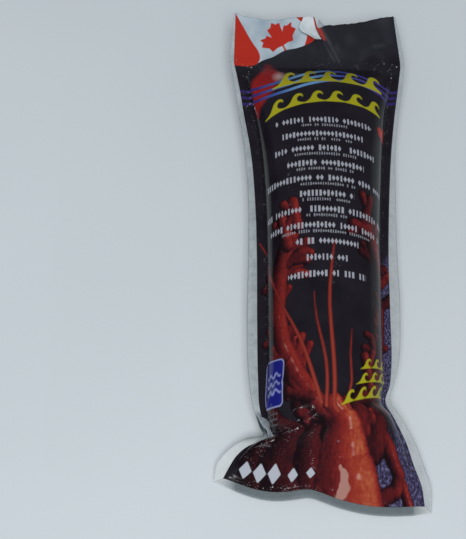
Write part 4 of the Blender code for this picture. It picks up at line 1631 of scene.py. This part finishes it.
@dataclass
class Sheet(Piece):
    """The printed front or the plain back of the pouch, from the bottom weld to the torn edge."""

    side: Side = Side.FRONT
    columns: int = 136
    tube_step: float = 0.86
    flap_rows: int = 34
    ragged: float = 0.35
    fin_lift: float = 0.25  # outer face above the weld's middle, at the fins
    loaf_lift: float = 0.7  # outer face above the block's own skin
    free_rise: float = 6.0  # rise above the seam over which the lift grows to that
    calm_edge: float = 4.0  # the film is smooth this near to its welds, more so by the power
    calm_power: float = 1.5
    highest: float = 1.2
    deepest: float = 0.6  # no dent goes deeper, because the block is under it
    weld_dent: float = 0.05  # nor deeper than this where the other film touches
    flap_gap: float = 0.03  # how fast the gap between the films grows up the flap
    folds: tuple[Crease, ...] = ()
    swell: Pair = (0.28, 26.0)  # lumps of the block under the film: height and size
    crumples: tuple = ()  # where, how deep and how fine the film is crumpled
    stretch: Triple = (0.6, 0.55, 0.7)  # swells, ridges and fine ridges, along the film
    fine: Pair = (2.3, 0.4)  # how much finer the fine ridges are, and their share
    crumple_base: float = 0.9
    table_gap: float = 0.02

    def flat_film(self) -> Film:
        """The film's mid surface, in one run of rows from the bottom weld to the torn edge.

        Returns:
            The film.
        """
        count = round(FORM.length / self.tube_step)
        tube = FORM.tube(self.side, self.columns, np.linspace(0, FORM.length, count + 1))
        flap = FORM.header(self.side, self.columns, np.linspace(0, 1, self.flap_rows), self.ragged)
        parts = [(tube.points, flap.points), (tube.across, flap.across), (tube.along, flap.along)]
        return Film(*[np.concatenate(pair) for pair in parts])

    def relief(self, film: Film, rise: Array) -> Array:
        """How far each point stands out of the plain film: swells, folds and crumples.

        Args:
            film: the plain film.
            rise: how far each of its points is from the seam.

        Returns:
            The heights in millimetres.
        """
        across, along = film.across, film.along
        flat = np.stack([across, along], axis=2)
        swells, ridges, fine_ridges = [flat * (1.0, each) for each in self.stretch]
        finer, share = self.fine
        out = self.swell[0] * chance(swells, self.swell[1], 3.1 * self.side.value)
        for fold in self.folds:
            out = out - fold.dent(across, along)
        for patch, deep, grain in self.crumples:
            ridged = 1 - 2 * np.abs(chance(ridges, grain, 7.7 + grain))
            fine = 1 - 2 * np.abs(chance(fine_ridges, grain / finer, 1.9 + grain))
            out = out + deep * patch.dent(across, along) * (ridged + share * fine - self.crumple_base)
        edge = np.minimum(FORM.print_width / 2 - np.abs(across), along)
        calm = np.clip(edge / self.calm_edge, 0, 1)
        gap = self.flap_gap * (along - FORM.length - FORM.top_weld)
        room = self.weld_dent + np.where(along > FORM.length, gap, 0.5 * rise).clip(0)
        return np.clip(out * calm**self.calm_power, -np.minimum(room, self.deepest), self.highest)

    def made(self, marks: dict) -> None:
        """Builds the sheet.

        Args:
            marks: numbers at each point, by name.
        """
        film = self.flat_film()
        facing = film.normals()
        out = self.side.value
        section = FORM.rows(np.clip(film.along[:, 0], 0, FORM.length))
        rise = np.abs(film.points[..., 2] - section.seam[:, None])
        free = np.clip(rise / self.free_rise, 0, 1)
        lift = self.fin_lift + (self.loaf_lift - self.fin_lift) * free * free * (3 - 2 * free)
        lift = np.where(film.along > FORM.length, self.fin_lift, lift) + self.relief(film, rise)
        points = film.points + out * facing * lift[..., None]
        points[..., 2] = np.maximum(points[..., 2], self.table_gap)
        self.build(points, marks, (film.across, film.along), self.side is Side.BACK)


@dataclass
class SideMargin(Piece):
    """The clear welded margin beside one side of the print, on to the top of the torn flap."""

    left: bool = True
    steps: int = 8
    tube_step: float = 1.0
    flap_rows: int = 34
    wave: Pair = (0.35, 17.0)  # ripple of the free edge: height and length
    rim: float = 0.16  # share of the width that is the thicker, darker lip
    # How pale the film is at most, milky with a painted sheen: the left one below a place and the right one
    # up to the header
    left_milk: Triple = (0.75, -113.5, 4.0)  # how pale, from where and over what length
    right_milk: Triple = (0.3, 118.0, 30.0)
    pocket: Pair = (-108.0, 6.8)  # middle and half length of the painted shade in the fold at the left neck

    def rows(self) -> Array:
        """Rows of points from the print to the free edge.

        Returns:
            The rows.
        """
        count = round(FORM.length / self.tube_step)
        places = np.linspace(0, FORM.length, count + 1)
        low = FORM.margin(self.left, self.steps, places)
        flap = FORM.header(Side.FRONT, 2, np.linspace(0, 1, self.flap_rows), 0.0).points
        back = FORM.header(Side.BACK, 2, np.linspace(0, 1, self.flap_rows), 0.0).points
        inner = ((flap + back) / 2)[:, 0 if self.left else -1]
        share = np.linspace(0, 1, self.steps + 1)[:, None]
        lift = np.linspace(0, 1, len(inner))[:, None]
        reach = (low[-1, -1] - low[-1, 0]) * np.hstack([1 + 0 * lift, 1 - lift, 1 - lift])
        reach *= 1 - FORM.margin_taper * lift**2
        return np.concatenate([low, inner[:, None] + share * reach[:, None]])

    def made(self) -> None:
        """Builds the margin."""
        points = self.rows()
        share = np.broadcast_to(np.linspace(0, 1, self.steps + 1), points.shape[:2])
        deep, length = self.wave
        ripple = chance(points * (0.4, 1.0, 0.0), length, 2.0 if self.left else 6.0)
        points[..., 2] += deep * ripple * share**2
        points[..., 2] = np.maximum(points[..., 2] + self.gauge / 2, self.gauge)
        if self.left:
            points, share = points[:, ::-1], share[:, ::-1]
        marks = {"rim": np.clip((share - 1 + self.rim) / self.rim, 0, 1)}
        most, start, over = self.left_milk if self.left else self.right_milk
        marks["milk"] = most * np.clip((start - points[..., 1]) / over, 0, 1)
        if self.left:
            middle, half = self.pocket
            marks["pocket"] = np.exp(-(((points[..., 1] - middle) / half) ** 4))
        self.build(points, marks)


@dataclass
class FootMargin(Piece):
    """The clear welded margin under the wavy foot, round both its corners."""

    steps: int = 10
    columns: int = 220
    rim: float = 0.12
    corner_milk: Pair = (0.7, 0.7)  # how pale the corners are, milky with a painted sheen, and how soon they turn so

    def made(self) -> None:
        """Builds the margin."""
        first = SECTIONS[0]
        inner = FORM.tube(Side.FRONT, self.columns, np.array([0.0, 1.0])).points[0]
        half = (first.right_x - first.left_x) / 2
        across = (inner[:, 0] - first.left_x) / half - 1
        turned = np.clip((np.abs(across) - 1 + FORM.corner_share) / FORM.corner_share, 0, 1)[:, None]
        left = (first.clear_left_x - first.left_x, first.clear_left_y - first.left_y, 0.0)
        right = (first.clear_right_x - first.right_x, first.clear_right_y - first.right_y, 0.0)
        corner = np.where(across[:, None] < 0, left, right)
        reach = (1 - turned) * np.array([0.0, -FORM.bottom_margin, -FORM.bottom_drop]) + turned * corner
        share = np.linspace(1, 0, self.steps + 1)[:, None, None]
        points = inner + share * reach
        points[..., 2] += self.gauge / 2
        rim = np.broadcast_to(np.clip((share[..., 0] - 1 + self.rim) / self.rim, 0, 1), points.shape[:2])
        most, power = self.corner_milk
        milk = np.broadcast_to(most * turned[:, 0] ** power, points.shape[:2])
        self.build(points, {"rim": rim, "milk": milk})


@dataclass
class NeckFlap(Piece):
    """A tongue of the left margin that is folded in over the print at the neck."""

    # At places along the pouch, where it begins and ends across the flat film
    spans: tuple = (
        (31.6, -46.6, -43.0), (33, -49.4, -41.8), (35, -52.0, -44.0), (37, -54.2, -46.2),
        (39.5, -54.2, -46.8), (42, -53.6, -46.6), (44.3, -55.2, -46.0), (46, -57.0, -47.6),
        (47.5, -57.9, -50.4), (49, -58.2, -52.8), (50.5, -58.5, -55.2), (52, -58.8, -57.9),
    )  # fmt: skip
    margin_span: Pair = (-62, -55)  # the margin's outer and inner edge, in the same measure
    margin_steps: int = 8
    columns: int = 160
    bright: Triple = (44.0, 4.0, 0.2)  # painted highlight along the tongue's folded edge: above this place, over this length and share
    arch: float = 0.5
    lift: float = 1.0
    steps: int = 14
    row_count: int = 48

    def made(self) -> None:
        """Builds the tongue over the margin and the front film."""
        spans = np.array(self.spans, float)
        places = np.linspace(spans[0, 0], spans[-1, 0], self.row_count + 1)
        film = FORM.tube(Side.FRONT, self.columns, places)
        margin = FORM.margin(True, self.margin_steps, places)[:, :0:-1]
        line = np.concatenate([margin, film.points], axis=1)
        across = np.linspace(*self.margin_span, self.margin_steps + 1)[:-1]
        across = np.concatenate([across, film.across[0]])
        line = line + Film(line, across, places).normals() * self.lift
        ends = smooth_through(spans[:, 0], spans[:, 1:], places)
        share = np.linspace(0, 1, self.steps + 1)
        wanted = ends[:, :1] + share * (ends[:, 1:] - ends[:, :1])
        points = read_rows(wanted, np.broadcast_to(across, line.shape[:2]), line)
        points[..., 2] += self.arch * np.sin(np.pi * share)
        start, over, width = self.bright
        rim = np.clip((places - start) / over, 0, 1)[:, None] * np.clip(1 - share / width, 0, 1)
        self.build(points, {"rim": rim})


@dataclass
class FoldedCorner(Piece):
    """The corner of the torn flap that is turned back, white side up."""

    # Share of the way, x and y along its fold and along its free edge
    fold: tuple = ((0, -0.9, 154.6), (0.4, 0.8, 148.4), (0.7, 2.5, 144.2), (1, 4.4, 140.5))
    free: tuple = (
        (0, -7.1, 154.2), (0.1, -7.7, 151.9), (0.2, -9.0, 150.0), (0.32, -9.8, 147.6), (0.45, -8.8, 145.0),
        (0.62, -5.8, 143.2), (0.78, -3.0, 141.7), (0.92, 0.9, 139.7), (1, 3.2, 139.8),
    )  # fmt: skip
    clear: float = 2.9  # how far it lies above the flap, and how much more at its free edge
    stand: float = 1.4
    crumple: Triple = (0.25, 3.0, 4.0)  # how deep, how fine and the seed
    steps: int = 26

    def made(self) -> None:
        """Builds the corner."""
        share = np.linspace(0, 1, self.steps + 1)
        lines = np.array(self.fold), np.array(self.free)
        fold, free = [smooth_through(line[:, 0], line[:, 1:], share) for line in lines]
        out = np.linspace(1, 0, self.steps + 1)[None, :, None]
        flat = fold[:, None] + out * (free - fold)[:, None]
        low = SECTIONS[-1].right_y + FORM.top_weld
        lift = (flat[..., 1] - low) / (self.fold[0][2] - low)
        height = FORM.header_surface(flat[..., 0], flat[..., 1], lift)
        height += self.clear + FORM.header_opening * lift + self.stand * out[..., 0] ** 2
        deep, grain, seed = self.crumple
        height += deep * chance(flat, grain, seed)
        points = np.concatenate([flat, height[..., None]], axis=2)[::-1]
        self.build(points, {})


@dataclass
class Lining(Piece):
    """The white lining between the two torn films, which stands out past them in a lip and a tip."""

    columns: int = 300
    rows: int = 10
    depth: float = 5.0  # how far it reaches in behind the torn edge

    def made(self) -> None:
        """Builds the lining."""
        torn = np.array(TORN_EDGE)
        x = np.linspace(torn[0, 0], torn[-1, 0], self.columns + 1)
        edge = np.interp(x, torn[:, 0], torn[:, 1])
        tip = np.interp(x, *np.transpose(LINING))
        share = np.linspace(0, 1, self.rows + 1)[:, None]
        y = edge - self.depth + share * (self.depth + tip)
        x = np.broadcast_to(x, y.shape)
        low = SECTIONS[-1].right_y + FORM.top_weld
        lift = ((y - low) / (edge - low)).clip(0, 1)
        z = FORM.header_surface(x, y, lift)
        self.build(np.stack([x, y, z], axis=2), {})


# ---------------------------------------------------------------- the studio


@dataclass(frozen=True)
class Lamp:
    """One square lamp that faces the pouch: its place and size in metres and its watts."""

    place: Triple
    size: float
    watts: float
    mirrored: bool = True  # whether it is seen in the film's gloss; such a lamp throws no shadow


@dataclass
class Studio:
    """The table, the soft light and the camera."""

    camera_at: tuple = (-0.0522, -0.2688, 0.7248)
    looks_at: tuple = (-0.0522, -0.0123, 0.020)
    lens: float = 82.39
    sky: tuple[str, float] = ("#dfe6f0", 0.22)
    card: tuple = ((-0.088, -0.165), 0.046, (-0.13, 0.13))  # both sides of it, its height and its ends
    card_base: float = 0.002
    card_arch: float = 0.6
    lamps: tuple[Lamp, ...] = (
        Lamp((-0.04, -0.70, 1.84), 1.0, 27.2, mirrored=False),
        Lamp((-0.45, -0.75, 0.90), 0.06, 1.4),
    )

    def table(self) -> None:
        """Adds the table that the pouch lies on."""
        bpy.ops.object.select_all(action="DESELECT")
        bpy.ops.mesh.primitive_grid_add(x_subdivisions=8, y_subdivisions=8, size=6.0)
        table = bpy.context.object
        table.name = table.data.name = "table_top"
        table.data.materials.append(TableTop("painted_table", roughness=0.55).material())

    def lights(self) -> None:
        """Adds the even sky and the soft lamps."""
        world = bpy.data.worlds.new("sky")
        world.use_nodes = True
        sky = world.node_tree.nodes["Background"]
        sky.inputs["Color"].default_value = linear(self.sky[0])
        sky.inputs["Strength"].default_value = self.sky[1]
        bpy.context.scene.world = world
        for i, each in enumerate(self.lamps):
            bpy.ops.object.light_add(type="AREA", location=each.place)
            lamp = bpy.context.object
            lamp.name = lamp.data.name = f"soft_lamp_{i}"
            lamp.data.size, lamp.data.energy = each.size, each.watts
            lamp.visible_glossy = each.mirrored
            lamp.data.use_shadow = not each.mirrored
            lamp.rotation_euler = (-Vector(each.place)).to_track_quat("-Z", "Y").to_euler()

    def black_card(self) -> None:
        """Adds a low arched black card at the left, which only the film's gloss mirrors."""
        (near, far), height, (foot, head) = self.card
        bpy.ops.object.select_all(action="DESELECT")
        bpy.ops.mesh.primitive_grid_add(x_subdivisions=16, y_subdivisions=2, size=1.0)
        card = bpy.context.object
        card.name = card.data.name = "black_card"
        for point in card.data.vertices:
            share = point.co.x + 0.5
            point.co = (near + share * (far - near), foot + (point.co.y + 0.5) * (head - foot), 0.0)
            point.co.z = self.card_base + height * math.sin(math.pi * share) ** self.card_arch
        black = WhiteFilm("black_card", roughness=0.8, tones=("#0a0a0b", "#0e0e10"))
        card.data.materials.append(black.material())
        card.visible_camera = card.visible_diffuse = card.visible_shadow = False
        card.visible_transmission = card.visible_volume_scatter = False

    def camera(self) -> None:
        """Adds the camera, above the pouch and leaning back a little from its foot."""
        bpy.ops.object.camera_add(location=self.camera_at)
        camera = bpy.context.object
        camera.name = camera.data.name = "camera"
        camera.data.lens, camera.data.sensor_width = self.lens, 36.0
        camera.data.clip_start = 0.01
        look = Vector(self.looks_at) - Vector(self.camera_at)
        camera.rotation_euler = look.to_track_quat("-Z", "Y").to_euler()
        bpy.context.scene.camera = camera
        bpy.context.scene.view_settings.view_transform = "Standard"


FRONT_FOLDS = (
    # Long tension folds beside the left edge of the loaf, and a few at the right
    Crease((-49.0, 238), (-46.5, 96), 0.45, 0.9, 0.2),
    Crease((-46.4, 205), (-45.0, 70), 0.35, 0.8, 0.3),
    Crease((-51.0, 190), (-49.5, 80), -0.35, 0.8, 0.3),
    Crease((47.6, 225), (47.0, 150), 0.3, 0.8, 0.3),
    # The shoulders, gathered into the top weld
    Crease((-50.5, 262), (-47.0, 228), 0.9, 1.6, 0.4),
    Crease((-46.0, 266), (-42.5, 236), -0.7, 1.4, 0.4),
    Crease((-41.0, 267), (-40.0, 246), 0.5, 1.3, 0.5),
    Crease((50.0, 262), (47.0, 240), 0.9, 1.5, 0.4),
    Crease((47.5, 262), (46.5, 244), -0.9, 1.0, 0.2),
    Crease((43.0, 266), (41.0, 244), 0.5, 1.4, 0.5),
    Crease((10.0, 268), (13.0, 250), 0.5, 1.5, 0.6),
    # The fold across the header, along its weld
    Crease((-50.0, 270.0), (20.0, 271.5), 0.35, 1.5, 0.1),
    Crease((54.0, 273.0), (14.0, 271.5), -0.35, 1.3, 0.2),
    Crease((-36.0, 274.0), (40.0, 275.5), -0.2, 1.8, 0.1),
    # The left neck, and the ridge that runs from it to the middle
    Crease((-54.0, 47), (-22.0, 66), -0.9, 1.2, 0.3),
    Crease((-53.0, 53), (-28.0, 71), 0.6, 1.1, 0.4),
    Crease((-53.0, 42), (-34.0, 30), -0.5, 1.3, 0.5),
    Crease((-30.0, 34.0), (-4.0, 43.0), -1.0, 1.1, 0.4),
    Crease((-33.0, 31.6), (-14.0, 36.6), 0.5, 1.5, 0.4),
    Crease((-22.2, 206), (-20.8, 164), -0.25, 0.7, 0.1),
    # The foot: a ridge down its middle and soft folds along it
    Crease((-5.0, 36), (-3.0, 14), -0.6, 0.7, 0.1),
    Crease((-20.0, 44), (-30.0, 8), 0.4, 1.8, 0.3),
    Crease((24.0, 40), (36.0, 8), 0.4, 2.0, 0.3),
    Crease((52.0, 54), (34.0, 62), -0.5, 1.2, 0.4),
    Crease((-52.0, 2.4), (53.0, 2.4), -0.35, 0.8, 0.01),
)
FRONT_CRUMPLES = (
    (Crease((-49, 264), (-46, 228), 1.0, 5.0, 0.2), 0.55, 5.0),
    (Crease((49, 266), (47, 240), 1.0, 5.0, 0.2), 0.55, 5.0),
    (Crease((-48, 228), (-47, 70), 0.7, 3.0, 0.2), 0.3, 6.0),
    (Crease((-54, 48), (-31, 41), 1.0, 8.0, 0.2), 0.8, 4.2),
    (Crease((-40, 40), (-44, 4), 0.6, 10.0, 0.3), 0.3, 6.0),
    (Crease((40, 62), (52, 46), 0.6, 6.0, 0.3), 0.35, 5.0),
    (Crease((-50, 270), (-34, 268), 1.0, 4.0, 0.1), 0.6, 3.2),
    (Crease((54, 272), (34, 273), 1.0, 4.0, 0.1), 0.6, 3.4),
    (Crease((-30, 271), (34, 272), 1.0, 3.0, 0.02), 0.25, 6.0),
)


def main() -> None:
    """Builds the pouch from its films out to its margins, then the studio round it."""
    bpy.context.scene.unit_settings.system = "METRIC"
    laminate = PrintedFilm("reverse_printed_laminate", roughness=0.17, ior=1.27).material()
    front = Sheet("front_sheet", "front_film", ("front_film", "top_weld", "header_front"), 0.2, laminate)
    front.folds, front.crumples = FRONT_FOLDS, FRONT_CRUMPLES
    film = front.flat_film()
    front.made(FrontPrint().marks(film.across, film.along))

    plain = BackFilm("printed_back_laminate", roughness=0.2).material()
    back = Sheet("back_sheet", "back_film", ("back_film", "header_back"), 0.2, plain, Side.BACK, columns=96)
    back.tube_step, back.fin_lift = 1.2, 0.1
    back.made({})

    clear = ClearFilm("clear_weld_film", roughness=0.24).material()
    SideMargin("left_margin", "clear_weld", ("side_weld_left",), 0.35, clear, left=True).made()
    # A darker, more opaque copy of the clear film: painted shade on the right margin
    right_shaded = ClearFilm("clear_thin_film", roughness=0.24)
    right_shaded.tint, right_shaded.body, right_shaded.rim = ("#aab4b8", "#bac3c7"), (0.50, 0.60), "#b6c0c4"
    SideMargin("right_margin", "clear_weld", ("side_weld_right",), 0.35, right_shaded.material(), left=False).made()
    # A dark copy of the clear film: painted shade on the foot's margin
    shaded = ClearFilm("clear_foot_film", roughness=0.24, tint=("#5d6a6e", "#6f7c80"), body=(0.46, 0.56))
    FootMargin("foot_margin", "clear_weld", ("bottom_weld",), 0.4, shaded.material()).made()
    # The folded tongue, its rim painted pale: a painted highlight along the fold
    folded = ClearFilm("clear_folded_film", roughness=0.2)
    folded.tint, folded.body, folded.rim = ("#838c94", "#b2b8c0"), (0.60, 0.80), "#dfe3e8"
    NeckFlap("neck_flap", "clear_weld", (), 0.15, folded.material()).made()
    white = WhiteFilm("white_inner_film", roughness=0.35).material()
    FoldedCorner("turned_corner", "bare_film", ("folded_corner",), 0.2, white).made()
    grey = WhiteFilm("shaded_inner_film", roughness=0.35, tones=("#8d9ba2", "#a9b6bc"))
    Lining("torn_lining", "bare_film", (), 0.15, grey.material()).made()

    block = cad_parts["frozen_block"]
    ice = BrineIce("frosted_brine_ice", roughness=0.6, ior=1.31).material()
    block.data.materials.clear()
    block.data.materials.append(ice)
    LOG.info("frozen_block: keeps its own shape, in frosted ice")

    studio = Studio()
    studio.table()
    studio.lights()
    studio.black_card()
    studio.camera()
    bpy.context.view_layer.update()


if __name__ == "__main__":
    main()
